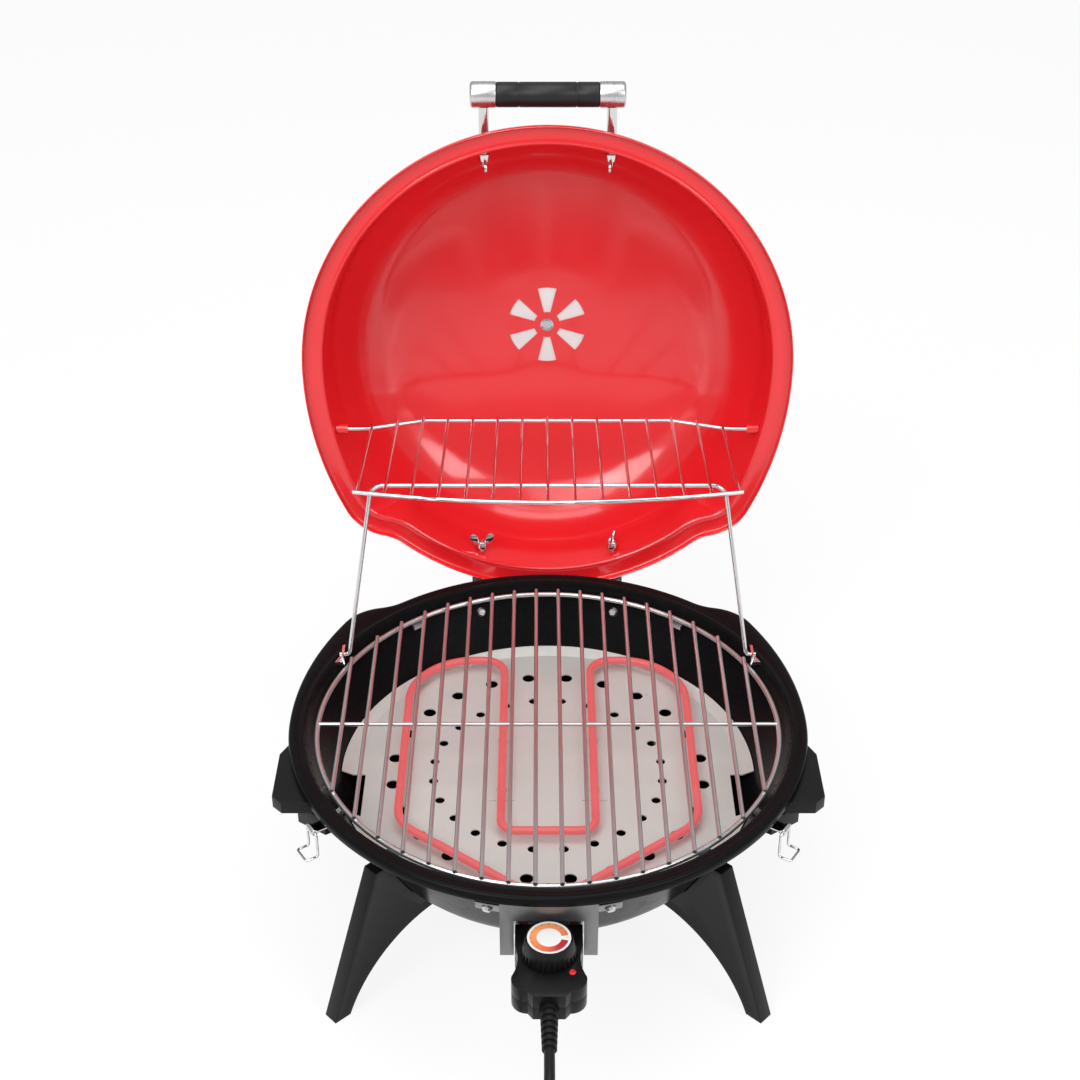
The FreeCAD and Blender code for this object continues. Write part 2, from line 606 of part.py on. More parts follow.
piece("terminal_hood", plain(terminal_hood()))
plate_base = box_at("hood_wall + seat_gap - hood_width / 2", "-plate_reach",
                    "element_height - plate_height / 2",
                    "hood_width - 2 * (hood_wall + seat_gap)", "plate_wall", "plate_height")
plate_cuts = [bowl_envelope]
for x, bore in (("-terminal_half_span", "element_tube"), ("terminal_half_span", "element_tube"),
                ("0", "probe_diameter")):
    plate_cuts.append(primitive("Cylinder", Placement(Vector(0, 0, 0), along_front),
                                Radius=bore + " / 2 + run_gap",
                                Height="terminal_reach", Placement__Base__x=x,
                                Placement__Base__z="element_height"))
piece("terminal_plate", cut(plate_base, plate_cuts))
piece("hood_screws", grouped([screw(frame) for frame in hood_screw_frames]))


# Legs: arched plastic blades screwed up under the floor of the bowl
def leg(name):
    def side_view(sketch):
        outline(sketch, [("leg_inner_reach", "0"), ("leg_foot_reach", "0"),
                         ("leg_top_reach", "leg_top_height"),
                         ("leg_inner_reach", "leg_top_height")])

    def arch(sketch):
        circle(sketch, "arch_centre_reach", "-arch_centre_drop", "arch_radius")

    body = pocketed(padded("XZ_Plane", side_view, "leg_width", midplane=True), "XZ_Plane", arch)
    body.Placement = Placement(Vector(0, 0, 0), Rotation(Vector(0, 0, 1), leg_angles[name]))
    return cut(body, [bowl_envelope, plain(shank_hole(leg_screw_frames[name]))])


for name in leg_angles:
    piece("leg_" + name, leg(name))
piece("leg_screws", grouped([screw(frame) for frame in leg_screw_frames.values()]))


# Side handles: a slab under the rim with a block bolted to the bowl
def side_handle(side, sign):
    def slab_plan(sketch):
        corner = "handle_slab_out - handle_corner"
        outline(sketch, [("handle_slab_in", "-handle_slab_rear"), (corner, "-handle_slab_rear"),
                         ("handle_slab_out", "-handle_slab_rear - 2 * handle_corner"),
                         ("handle_slab_out", "handle_corner - handle_slab_front"),
                         (corner, "-handle_slab_front"), ("handle_slab_in", "-handle_slab_front")])

    def block_plan(sketch):
        outline(sketch, [("handle_block_in", "-handle_block_rear"),
                         ("handle_block_out", "-handle_block_rear"),
                         ("handle_block_out", "-handle_slab_front + handle_corner"),
                         ("(handle_block_in + handle_block_out) / 2", "-handle_block_front"),
                         ("handle_block_in", "handle_block_taper - handle_block_front")])

    top = "rim_top - hem_depth - body_gap"
    slab = padded("XY_Plane", slab_plan, "handle_slab_height", top + " - handle_slab_height")
    block = padded("XY_Plane", block_plan, "handle_block_height",
                   top + " - handle_slab_height - handle_block_height")
    handle = cut(fused([slab, block]), [bowl_envelope])
    if sign < 0:
        flip = doc.addObject("Part::Mirroring", "flip")
        flip.Source = handle
        flip.Normal = Vector(1, 0, 0)
        handle = flip
    return cut(handle, [plain(shank_hole(frame)) for frame in handle_bolt_frames[side]])


for side, sign in sides.items():
    piece("side_handle_" + side, side_handle(side, sign))
piece("side_handle_bolts", grouped([hex_bolt(frame) for frame in sum(handle_bolt_frames.values(), [])]))


# Lid: modelled closed, then turned open about the hinge axis
hinge_axis = Vector(0, S.hinge_y, S.hinge_z)
lid_placement = Placement(Vector(0, 0, 0), Rotation(Vector(1, 0, 0), -S.lid_open_angle), hinge_axis)
lid_base = S.rim_top + S.lid_seat
lid_side_top = lid_base + S.lid_side_height
lid_rim_radius = S.rim_radius - S.lid_flange


def opened(obj):
    obj.Placement = lid_placement
    return obj


def lid_wall_y(x, z, inset):
    # Distance of the lid's side from the middle plane, straight in front of or behind a place x
    share = (z - lid_base) / S.lid_side_height
    radius = lid_rim_radius + share * (S.lid_side_radius - lid_rim_radius) - inset
    return math.sqrt(radius ** 2 - x ** 2)


def bulged(start, end, bulge):
    chord = end - start
    middle = (start + end) / 2 + Vector(chord.z, 0, -chord.x).normalize() * bulge
    return Part.Arc(start, middle, end).toShape()


def lid_dome(inset):
    side = Vector(S.lid_side_radius - inset, 0, lid_side_top)
    crease = Vector(S.crease_radius - inset / 2, 0, lid_base + S.crease_height - inset)
    crown = Vector(S.crown_radius, 0, lid_base + S.lid_height - inset)
    foot = Vector(0, 0, side.z)
    top = Vector(0, 0, crown.z)
    edges = [Part.makeLine(foot, side), bulged(side, crease, S.shoulder_bulge),
             bulged(crease, crown, S.crown_bulge), Part.makeLine(crown, top), Part.makeLine(top, foot)]
    return Part.Face(Part.Wire(edges)).revolve(Vector(0, 0, 0), Vector(0, 0, 1), 360)


def lid_form(inset):
    # Solid inside of the lid's skin: a ruled side between the rim outline and a circle, and a dome
    arcs = rim_arcs(-S.lid_flange - inset, lid_base)
    radius = S.lid_side_radius - inset
    ring = []
    for arc in arcs:
        spread = [Vector(p.x, p.y, 0).normalize() * radius + Vector(0, 0, lid_side_top) for p in arc]
        ring.append(Part.Arc(*spread).toShape())
    side = Part.makeLoft([rim_wire(-S.lid_flange - inset, lid_base), Part.Wire(ring)], True, True)
    return side.fuse(lid_dome(inset))


def wedge(angle, z, height):
    # One opening of the vent, narrow towards the middle
    half = S.vent_open_angle / 2
    outer = [polar(S.vent_outer, angle + a, z) for a in (-half, 0, half)]
    inner = [polar(S.vent_inner, angle + a, z) for a in (half, 0, -half)]
    edges = [Part.Arc(*outer).toShape(), Part.makeLine(outer[2], inner[0]),
             Part.Arc(*inner).toShape(), Part.makeLine(inner[2], outer[0])]
    return Part.Face(Part.Wire(edges)).extrude(Vector(0, 0, height))


lid_top = lid_base + S.lid_height
vent_angles = [270 + i * 360 / S.vent_count for i in range(int(S.vent_count))]
leaf_bolt_level = lid_base + S.lid_wall + S.leaf_over_flange + S.leaf_pad_height / 2
post_holes = [(sign * S.post_half_span, S.post_level) for sign in sides.values()]
leaf_holes = [(sign * S.hinge_half_span, leaf_bolt_level) for sign in sides.values()]


def lid_bore(x, z, direction):
    near = S.lid_side_radius / 2
    return Part.makeCylinder(S.stud_diameter / 2 + S.run_gap, S.rim_radius - near,
                             Vector(x, direction * near, z), Vector(0, direction, 0))


def lid_shell():
    out = S.skirt_gap + S.lid_wall
    inner = -S.lid_flange - S.lid_wall
    flange = rim_plate(out, lid_base, S.lid_wall)
    skirt_low = lid_base + S.lid_wall - S.skirt_drop
    skirt = rim_plate(out, skirt_low, S.skirt_drop).cut(
        rim_plate(S.skirt_gap, skirt_low - S.cut_over, S.skirt_drop + 2 * S.cut_over))
    hollow = lid_form(S.lid_wall).fuse(rim_plate(inner, lid_base - S.cut_over, S.cut_over))
    vents = [wedge(a, lid_top - S.lid_wall - S.cut_over, S.lid_wall + 2 * S.cut_over) for a in vent_angles]
    middle = Part.makeCylinder(S.vent_bolt / 2 + S.run_gap, S.lid_height,
                               Vector(0, 0, lid_base + S.cut_over))
    bores = [lid_bore(x, z, -1) for x, z in post_holes] + [lid_bore(x, z, 1) for x, z in leaf_holes]
    return flange.fuse([skirt, lid_form(0)]).cut([hollow, middle] + vents + bores)


piece("lid_shell", opened(plain(lid_shell())))
lid_skin = plain(lid_form(-S.seat_gap))
lid_hollow = plain(lid_form(S.lid_wall + S.seat_gap))

# Vent damper on the crown, turning on a bolt
damper_level = lid_top + S.seat_gap
damper = Part.makeCylinder(S.damper_radius, S.damper_wall, Vector(0, 0, damper_level))
damper_tab = Part.makeBox(S.damper_tab, S.damper_wall, S.damper_tab_height,
                          Vector(S.damper_radius - S.damper_tab, -S.damper_wall / 2, damper_level))
damper_bore = Part.makeCylinder(S.vent_bolt / 2 + S.run_gap, S.damper_wall + 2 * S.cut_over,
                                Vector(0, 0, damper_level - S.cut_over))
damper_turn = 180 / S.vent_count
damper_cuts = [wedge(a + damper_turn, damper_level - S.cut_over, S.damper_wall + 2 * S.cut_over)
               for a in vent_angles]
piece("vent_damper", opened(plain(damper.fuse(damper_tab).cut(damper_cuts + [damper_bore]))))
vent_reach = "lid_wall + damper_wall + 3 * seat_gap"
vent_bolt = revolved([("0", "-vent_bolt_head_height - " + vent_reach),
                      ("vent_bolt_head / 3", "-vent_bolt_head_height - " + vent_reach),
                      ("vent_bolt_head / 2", "-" + vent_reach.replace("+", "-")),
                      ("vent_bolt / 2", "-" + vent_reach.replace("+", "-")), ("vent_bolt / 2", "0"),
                      ("vent_bolt_head / 2", "0"), ("vent_bolt_head / 2", "vent_bolt_head_height / 3"),
                      ("vent_bolt_head / 3", "vent_bolt_head_height"), ("0", "vent_bolt_head_height")])
vent_seat = Placement(Vector(0, 0, damper_level + S.damper_wall + S.seat_gap), Rotation())
vent_bolt.Placement = lid_placement * vent_seat
piece("vent_bolt", vent_bolt)


# Wing nut: its seat is at the frame and its own Z axis points away from the seat
def wing_nut(frame):
    hub = primitive("Cone", Radius1="wing_hub / 2", Radius2="wing_hub / 2 - wing_wall / 2",
                    Height="wing_hub_height")
    wings = box_at("-wing_span / 2", "-wing_wall / 2", "wing_hub_height / 3",
                   "wing_span", "wing_wall", "wing_height - wing_hub_height / 3")
    gap = box_at("-wing_hub / 3", "-wing_wall", "wing_hub_height", "2 * wing_hub / 3", "2 * wing_wall",
                 "wing_height")
    bore = primitive("Cylinder", Placement(Vector(0, 0, -S.cut_over), Rotation()),
                     Radius="stud_diameter / 2 + run_gap", Height="wing_height + 2 * cut_over")
    nut = cut(fused([hub, cut(wings, [gap])]), [bore])
    nut.Placement = lid_placement * frame
    return nut


# Lid handle: two posts, a grip and a ferrule at each end of it
bar_centre = Vector(0, -S.bar_reach, S.post_level)
ferrule_space = plain(Part.makeCylinder(S.ferrule_diameter / 2 + S.seat_gap, S.bar_length,
                                        bar_centre - Vector(S.bar_length / 2, 0, 0), Vector(1, 0, 0)))
posts = []
post_nuts = []
for x, z in post_holes:
    wall_y = lid_wall_y(abs(x) + S.wing_hub / 2, z + S.wing_hub / 2, S.lid_wall + S.seat_gap)
    post = primitive("Cylinder", Placement(Vector(x, -S.bar_reach, z), along_rear),
                     Radius="post_diameter / 2", Height="bar_reach - lid_side_radius / 2")
    stud_end = wall_y - S.wing_hub_height
    stud = primitive("Cylinder", Placement(Vector(x, -stud_end, z), along_front),
                     Radius="stud_diameter / 2", Height=S.bar_reach - S.ferrule_diameter - stud_end)
    posts.append(fused([cut(post, [ferrule_space, lid_skin]), stud]))
    post_nuts.append(wing_nut(Placement(Vector(x, -wall_y, z), along_rear)))
piece("handle_posts", opened(grouped(posts)))
piece("handle_wing_nuts", grouped(post_nuts))
grip = revolved([("0", "0"), ("grip_diameter / 2", "0"),
                 ("grip_diameter / 2", "bar_length - 2 * ferrule_length"),
                 ("0", "bar_length - 2 * ferrule_length")])
grip.Placement = lid_placement * Placement(bar_centre + Vector(S.ferrule_length - S.bar_length / 2, 0,
                                                               0), along_x)
piece("handle_grip", grip)
for side, sign in sides.items():
    ferrule = revolved([("0", "0"), ("ferrule_diameter / 2", "0"),
                        ("ferrule_diameter / 2", "ferrule_length - bar_edge"),
                        ("ferrule_diameter / 2 - bar_edge", "ferrule_length"), ("0", "ferrule_length")])
    start = bar_centre + Vector(sign * (S.bar_length / 2 - S.ferrule_length), 0, 0)
    ferrule.Placement = lid_placement * Placement(start, Rotation(Vector(0, 1, 0), sign * 90))
    piece("handle_ferrule_" + side, ferrule)


# Hinges: a bracket on the bowl, a pin, and a cranked leaf that goes over the lid's flange
leaf_bolts = []
leaf_nuts = []
for side, sign in sides.items():
    middle = "%d * hinge_half_span" % sign
    pin_half = "leaf_width / 2 + body_gap + ear_wall"
    pin_place = Placement(Vector(0, 0, 0), along_x)
    pin = primitive("Cylinder", pin_place, Radius="hinge_pin / 2", Height="2 * (%s)" % pin_half,
                    Placement__Base__x="%s - (%s)" % (middle, pin_half), Placement__Base__y="hinge_y",
                    Placement__Base__z="hinge_z")
    piece("hinge_pin_" + side, pin)
    bore = primitive("Cylinder", pin_place, Radius="hinge_pin / 2 + run_gap",
                     Height="2 * (%s + cut_over)" % pin_half,
                     Placement__Base__x="%s - (%s) - cut_over" % (middle, pin_half),
                     Placement__Base__y="hinge_y",
                     Placement__Base__z="hinge_z")
    web_back = "throat_radius * cos(asin(hinge_half_span / throat_radius))"
    web = box_at("%s - (%s)" % (middle, pin_half), web_back + " - bracket_height",
                 "hinge_z + hinge_barrel / 2 - bracket_height", "2 * (%s)" % pin_half,
                 "bracket_height + bracket_wall", "bracket_height")
    forms = [web]
    for offset in ("-leaf_width / 2 - body_gap - ear_wall", "leaf_width / 2 + body_gap"):
        x = "%s %s" % (middle, offset if offset[0] == "-" else "+ " + offset)
        forms.append(box_at(x, web_back, "hinge_z - hinge_barrel / 2", "ear_wall",
                            "hinge_y - (%s)" % web_back,
                            "hinge_barrel"))
        forms.append(primitive("Cylinder", pin_place, Radius="hinge_barrel / 2", Height="ear_wall",
                               Placement__Base__x=x, Placement__Base__y="hinge_y",
                               Placement__Base__z="hinge_z"))
    bolt_hole = plain(shank_hole(hinge_bolt_frames[side]))
    piece("hinge_bracket_" + side, cut(fused(forms), [bowl_envelope, bore, bolt_hole]))
    leaf_x = "%s - leaf_width / 2" % middle
    over = "rim_top + lid_seat + lid_wall + leaf_over_flange"
    strap_y = "hinge_y + leaf_offset"
    foot = box_at(leaf_x, "hinge_y", "hinge_z - leaf_wall", "leaf_width", "leaf_offset + leaf_wall",
                  "2 * leaf_wall")
    strap = box_at(leaf_x, strap_y, "hinge_z - leaf_wall", "leaf_width", "leaf_wall",
                   "%s + leaf_wall - hinge_z + leaf_wall" % over)
    bridge = box_at(leaf_x, "lid_side_radius / 2", over, "leaf_width",
                    "%s + leaf_wall - lid_side_radius / 2" % strap_y,
                    "leaf_wall")
    pad_depth = lid_wall_y(S.hinge_half_span - S.leaf_width / 2, lid_base, -S.leaf_pad_wall)
    pad = box_at(leaf_x, "lid_side_radius / 2", over, "leaf_width", pad_depth - S.lid_side_radius / 2,
                 "leaf_pad_height")
    barrel = primitive("Cylinder", pin_place, Radius="hinge_barrel / 2", Height="leaf_width",
                       Placement__Base__x=leaf_x, Placement__Base__y="hinge_y",
                       Placement__Base__z="hinge_z")
    x = sign * S.hinge_half_span
    bolt_bore = plain(lid_bore(x, leaf_bolt_level, 1))
    leaf = cut(fused([foot, strap, bridge, pad, barrel]), [lid_skin, bore, bolt_bore])
    piece("hinge_leaf_" + side, opened(leaf))
    nut_y = lid_wall_y(S.hinge_half_span + S.wing_hub / 2, leaf_bolt_level + S.wing_hub / 2,
                       S.lid_wall + S.seat_gap)
    head = primitive("Cylinder", Placement(Vector(x, pad_depth + S.seat_gap, leaf_bolt_level), along_rear),
                     Radius="screw_head / 2", Height="screw_head_height")
    shank = primitive("Cylinder", Placement(Vector(x, pad_depth + S.seat_gap, leaf_bolt_level),
                                            along_front),
                      Radius="stud_diameter / 2", Height=pad_depth - nut_y + S.wing_hub_height)
    leaf_bolts.append(fused([head, shank]))
    leaf_nuts.append(wing_nut(Placement(Vector(x, nut_y, leaf_bolt_level), along_front)))
piece("hinge_bolts", grouped([screw(frame) for frame in hinge_bolt_frames.values()]))
piece("hinge_leaf_bolts", opened(grouped(leaf_bolts)))
piece("hinge_wing_nuts", grouped(leaf_nuts))


# Warming rack: the bail, the lid and the panel make a parallelogram with the bowl,
# so the panel keeps its slope while it swings
rack_pivot = lid_placement.multVec(Vector(0, S.rack_pivot_y, S.rack_pivot_z))
bail_pivot = Vector(0, S.bail_pivot_y, S.bail_pivot_z)
bail_rise = rack_pivot - hinge_axis
bail_crest = bail_pivot + bail_rise
forward = (bail_crest - rack_pivot).normalize()
upward = Vector(-1, 0, 0).cross(forward)


def beside(x, place):
    return Vector(x, place.y, place.z)


def both_sides(half):
    return half + [Vector(-p.x, p.y, p.z) for p in reversed(half)]


bail_points = both_sides([beside(S.bail_pin_end, bail_pivot), beside(S.bail_foot, bail_pivot),
                          beside(S.bail_top, bail_crest)])
bail_bends = [S.bail_foot_bend, S.bail_top_bend, S.bail_top_bend, S.bail_foot_bend]
piece("rack_bail", plain(tube(rounded_path(bail_points, bail_bends), S.bail_wire)))


def rear_bow(x):
    # How far the rear wire stands back from its pivots
    slope = S.rack_bow_start - S.rack_bow_flat
    return S.rack_bow * min(max((S.rack_bow_start - abs(x)) / slope, 0), 1)


def front_reach(x):
    # Distance of the front wire before the bail, along an arc between its two ends
    rise = S.rack_front_middle - S.rack_front_side
    radius = (S.rack_front_end ** 2 + rise ** 2) / (2 * rise)
    return S.rack_front_middle - radius + math.sqrt(radius ** 2 - x ** 2)


def rack_panel():
    bow = [beside(x, rack_pivot - forward * rear_bow(x))
           for x in (S.rack_end, S.rack_bow_start, S.rack_bow_flat)]
    bends = [S.rack_bow_bend, S.rack_bow_bend]
    rear = tube(rounded_path(both_sides(bow), bends + bends), S.rack_wire)
    lift = upward * (S.bail_wire / 2 + S.body_gap + S.rack_cross_wire / 2)

    def front_place(x):
        return beside(x, bail_crest + lift + forward * front_reach(x))

    arc = Part.Arc(front_place(S.rack_front_end), front_place(0), front_place(-S.rack_front_end))
    front = tube(Part.Wire(arc.toShape()), S.rack_wire)
    seat = upward * (S.rack_wire / 2 + S.rack_cross_wire / 2 - S.rack_weld)
    wires = []
    for i in range(int(S.rack_cross_count)):
        x = (i - (S.rack_cross_count - 1) / 2) * S.rack_cross_pitch
        back = beside(x, rack_pivot + seat - forward * (rear_bow(x) + S.rack_wire / 2))
        wires.append(straight_wire(back, front_place(x), S.rack_cross_wire))
    return rear.fuse([front] + wires)


piece("rack_panel", plain(rack_panel()))
bushings = []
lug_low = grate_ring_level + S.grate_ring_wire / 2 + S.lug_grate_gap
for side, sign in sides.items():
    lug_front = Vector(S.lug_face, S.bail_pivot_y - S.lug_length / 2, lug_low)
    plate = Part.makeBox(S.lug_wall, S.lug_length, S.bail_pivot_z + S.lug_rise - lug_low, lug_front)
    foot = Part.makeBox(S.rim_inner_radius - S.lug_face, S.lug_length, S.lug_foot, lug_front)
    hole = Part.makeCylinder(S.bail_wire / 2 + S.run_gap, S.rim_inner_radius, bail_pivot, Vector(1, 0, 0))
    lug = plate.fuse(foot).common(bowl_cavity.Shape).cut(hole)
    piece("rack_lug_" + side, plain(lug if sign > 0 else mirrored(lug)))
    pivot = Vector(0, S.rack_pivot_y, S.rack_pivot_z)
    cup = Part.makeCylinder(S.bushing_outer / 2, S.rim_radius - S.bushing_start,
                            beside(S.bushing_start, pivot), Vector(1, 0, 0)).common(lid_hollow.Shape)
    cup = cup.cut(Part.makeCylinder(S.rack_wire / 2 + S.run_gap, S.rim_radius, pivot, Vector(1, 0, 0)))
    bushings.append(plain(cup if sign > 0 else mirrored(cup)))
piece("rack_bushings", opened(grouped(bushings)))


# Latches: a wire loop in a sleeve under the rim at each side of the front
for side, sign in sides.items():
    turn = Placement(Vector(0, 0, 0), Rotation(Vector(0, 0, 1), 270 + sign * S.latch_angle))
    centre = Vector(S.latch_reach, 0, S.latch_level)
    half_sleeve = Vector(0, S.sleeve_length / 2, 0)
    sleeve = Part.makeCylinder(S.sleeve_outer / 2, S.sleeve_length, centre - half_sleeve, Vector(0, 1, 0))
    arm = Part.makeBox(S.latch_reach - S.belly_radius, S.sleeve_length, S.latch_plate,
                       Vector(S.belly_radius, 0, S.latch_level - S.latch_plate / 2) - half_sleeve)
    hook = Part.makeBox(S.latch_reach - S.belly_radius, S.sleeve_length, S.latch_plate_height,
                        Vector(S.belly_radius, 0,
                               S.latch_level - S.latch_plate_height + S.latch_plate / 2) - half_sleeve)
    hook = hook.common(bowl_outer(S.seat_gap + S.latch_plate))
    bore = Part.makeCylinder(S.latch_wire / 2 + S.run_gap, S.sleeve_length + 2 * S.cut_over,
                             centre - half_sleeve - Vector(0, S.cut_over, 0), Vector(0, 1, 0))
    bracket = plain(sleeve.fuse([arm, hook]).cut([bowl_outer(S.seat_gap), bore]))
    bracket.Placement = turn
    piece("latch_bracket_" + side, bracket)
    wire_end = S.latch_wire / 2
    loop = [(0, -wire_end, 0), (0, -S.latch_half_width, 0), (0, -S.latch_half_width, -S.latch_arm),
            (S.latch_lip, -S.latch_half_width, -S.latch_arm)]
    loop += [(x, -y, z) for x, y, z in reversed(loop)]
    path = rounded_path([centre + Vector(*p) for p in loop], [S.latch_bend] * (len(loop) - 2))
    wire = plain(tube(path, S.latch_wire))
    wire.Placement = turn
    piece("latch_loop_" + side, wire)


# Controller: two case halves that hold the sockets, the probe, the switch and the knob
def case_plan(inset, z):
    # Square rear, drawn-in waist, rounded cheeks and a nose that the cord leaves by
    rows = [(S.case_rear_width, S.case_rear), (S.case_rear_width, S.case_neck),
            (S.case_waist_width, S.case_waist), (S.case_front_width, S.case_shoulder),
            (S.case_cheek_width, S.case_cheek), (S.case_brow_width, S.case_brow),
            (S.case_nose_width, S.case_front)]
    edges = []
    for sign in sides.values():
        rear, neck, waist, shoulder, cheek, brow, nose = [
            Vector(sign * width / 2, -reach, z) for width, reach in rows]
        edges += [Part.makeLine(rear, neck), Part.Arc(neck, waist, shoulder).toShape(),
                  Part.Arc(shoulder, cheek, brow).toShape(), Part.makeLine(brow, nose)]
    edges.append(Part.makeLine(beside(-rear.x, rear), rear))
    edges.append(Part.makeLine(nose, beside(-nose.x, nose)))
    face = Part.Face(Part.Wire(Part.__sortEdges__(edges)))
    return face.makeOffset2D(-inset) if inset else face


def case_half(low, high, floor_low, floor_high):
    # One half of the case: closed towards the outside, open where the halves meet
    outer = case_plan(0, low).extrude(Vector(0, 0, high - low))
    inner = case_plan(S.case_wall, floor_low).extrude(Vector(0, 0, floor_high - floor_low))
    return outer.cut([inner] + case_holes)


knob_place = Vector(0, -S.knob_y, 0)
lens_place = Vector(S.lens_x, -S.lens_y, 0)
relief_radius = S.relief_root / 2
case_holes = [Part.makeCylinder(S.socket_outer / 2 + S.seat_gap, S.socket_length + 2 * S.cut_over,
                                Vector(sign * S.terminal_half_span, -S.case_rear + S.cut_over,
                                       S.element_height),
                                Vector(0, -1, 0)) for sign in sides.values()]
case_holes += [
    Part.makeCylinder(S.probe_diameter / 2 + S.seat_gap, S.case_wall + 2 * S.cut_over,
                      Vector(0, -S.case_rear + S.cut_over, S.element_height), Vector(0, -1, 0)),
    Part.makeCylinder(relief_radius + S.seat_gap, S.case_front - S.case_shoulder,
                      Vector(0, -S.case_shoulder, S.cord_exit_height), Vector(0, -1, 0)),
    Part.makeCylinder(S.spindle_diameter / 2 + S.run_gap, S.case_top - S.case_split,
                      knob_place + Vector(0, 0, S.case_split + S.cut_over)),
    Part.makeCylinder(S.lens_diameter / 2 + S.seat_gap, S.case_top - S.case_split,
                      lens_place + Vector(0, 0, S.case_split + S.cut_over))]
piece("controller_lower_case", plain(case_half(S.case_bottom, S.case_split, S.case_bottom + S.case_wall,
                                               S.case_split + S.cut_over)))
piece("controller_upper_case", plain(case_half(S.case_split, S.case_top, S.case_split - S.cut_over,
                                               S.case_top - S.case_wall)))
sockets = []
for sign in sides.values():
    barrel = primitive("Cylinder", Placement(Vector(sign * S.terminal_half_span, -S.case_rear,
                                                    S.element_height), along_front),
                       Radius="socket_outer / 2", Height="socket_length")
    bore = primitive("Cylinder", Placement(Vector(sign * S.terminal_half_span, -S.case_rear,
                                                  S.element_height), along_front),
                     Radius="element_tube / 2 + run_gap", Height="socket_length")
    sockets.append(cut(barrel, [bore]))
piece("contact_sockets", grouped(sockets))
probe = revolved([("0", "0"), ("probe_flange / 2", "0"), ("probe_flange / 2", "case_wall"),
                  ("probe_diameter / 2", "case_wall"), ("probe_diameter / 2", "probe_length"),
                  ("0", "probe_length")])
probe_start = Vector(0, -S.case_rear - 2 * S.case_wall - S.seat_gap, S.element_height)
probe.Placement = Placement(probe_start, along_rear)
piece("thermostat_probe", probe)
piece("thermostat_switch", box_at("-switch_width / 2", "-knob_y - switch_length / 2",
                                  "case_bottom + case_wall",
                                  "switch_width", "switch_length", "switch_height"))
lens = revolved([("0", "-lens_rise"), ("lens_diameter / 2", "-lens_rise"),
                 ("lens_diameter / 2", "case_wall"),
                 ("lens_diameter / 3", "case_wall + lens_rise"), ("0", "case_wall + lens_rise")])
lens.Placement = Placement(lens_place + Vector(0, 0, S.case_top - S.case_wall), Rotation())
piece("indicator_lens", lens)

# Knob with its dial and spindle, turning on an upright axis
dial_radius = "dial_diameter / 2 + seat_gap"
dial_floor = "knob_height - dial_wall - seat_gap"
spindle_bore = "spindle_diameter / 2 + run_gap"
knob = revolved([(spindle_bore, "0"), ("knob_skirt / 2", "0"), ("knob_cap / 2", "knob_height"),
                 (dial_radius, "knob_height"), (dial_radius, dial_floor), ("0", dial_floor),
                 ("0", "spindle_grip"), (spindle_bore, "spindle_grip")])


def flute_plan(sketch):
    circle(sketch, "knob_skirt / 2", "0", "knob_flute / 2")


pocketed(knob, "XY_Plane", flute_plan)
flutes = knob.newObject("PartDesign::PolarPattern", "flutes")
flutes.Originals = [knob.Tip]
flutes.Axis = (next(o for o in knob.Origin.OriginFeatures if o.Role == "Z_Axis"), [""])
flutes.Angle = 360
bind(flutes, Occurrences="knob_flute_count")
knob.Tip = flutes
knob_seat = Vector(0, -S.knob_y, S.case_top + S.body_gap)
knob.Placement = Placement(knob_seat, Rotation())
piece("control_knob", knob)
dial_seat = knob_seat + Vector(0, 0, S.knob_height - S.dial_wall - S.seat_gap)
dial = primitive("Cylinder", Placement(dial_seat, Rotation()), Radius="dial_diameter / 2",
                 Height="dial_wall")
piece("dial_disc", dial)
switch_top = "case_bottom + case_wall + switch_height + seat_gap"
case_ceiling = "case_top - case_wall - seat_gap"
spindle = revolved([("0", switch_top), ("spindle_flange / 2", switch_top),
                    ("spindle_flange / 2", case_ceiling), ("spindle_diameter / 2", case_ceiling),
                    ("spindle_diameter / 2", "case_top + body_gap + spindle_grip - seat_gap"),
                    ("0", "case_top + body_gap + spindle_grip - seat_gap")])
spindle.Placement = Placement(knob_place, Rotation())
piece("knob_spindle", spindle)


# Supply cord: a ribbed relief in the nose of the case, a free lead, a tied coil and a plug
def relief_profile():
    length = S.relief_length
    low = -S.case_wall - S.relief_setback
    taper = (S.relief_root - S.relief_tip) / 2
    points = [(0, low - S.relief_collar_length), (S.relief_collar / 2, low - S.relief_collar_length),
              (S.relief_collar / 2, low), (relief_radius, low)]
    step = length / (2 * S.relief_rib_count + 1)
    for i in range(int(S.relief_rib_count)):
        start = (2 * i + 1) * step
        for along, dip in ((start, 0), (start, S.relief_rib), (start + step, S.relief_rib),
                           (start + step, 0)):
            points.append((relief_radius - taper * along / length - dip, along))
    return points + [(S.relief_tip / 2, length), (0, length)]


relief = plain(turned_solid(relief_profile()))
relief.Placement = Placement(Vector(0, -S.case_front, S.cord_exit_height), along_front)
piece("strain_relief", relief)

# Route of the lead, chosen by hand; its last run leads straight into the coil
lead_route = [
    (0, -350, 143), (0, -390, 143), (-3, -421, 117), (-10, -437, 79), (-30, -451, 44),
    (-64, -463, 22.5), (-104, -468, 16.2), (-142, -468, 16.2)]
lead_points = [Vector(*p) for p in lead_route]


def cord_radii(points):
    # The largest tangent arc that two neighbouring runs allow
    radii = []
    for before, corner, after in zip(points, points[1:], points[2:]):
        into = corner - before
        out = after - corner
        run_share = 0.45
        radii.append(run_share * min(into.Length, out.Length) / math.tan(into.getAngle(out) / 2))
    return radii


def check_tube(name, shape, path):
    section = math.pi * S.cord_diameter ** 2 / 4
    print("%s: length %.1f mm, volume %.4f of section times length"
          % (name, path.Length, shape.Volume / (section * path.Length)))


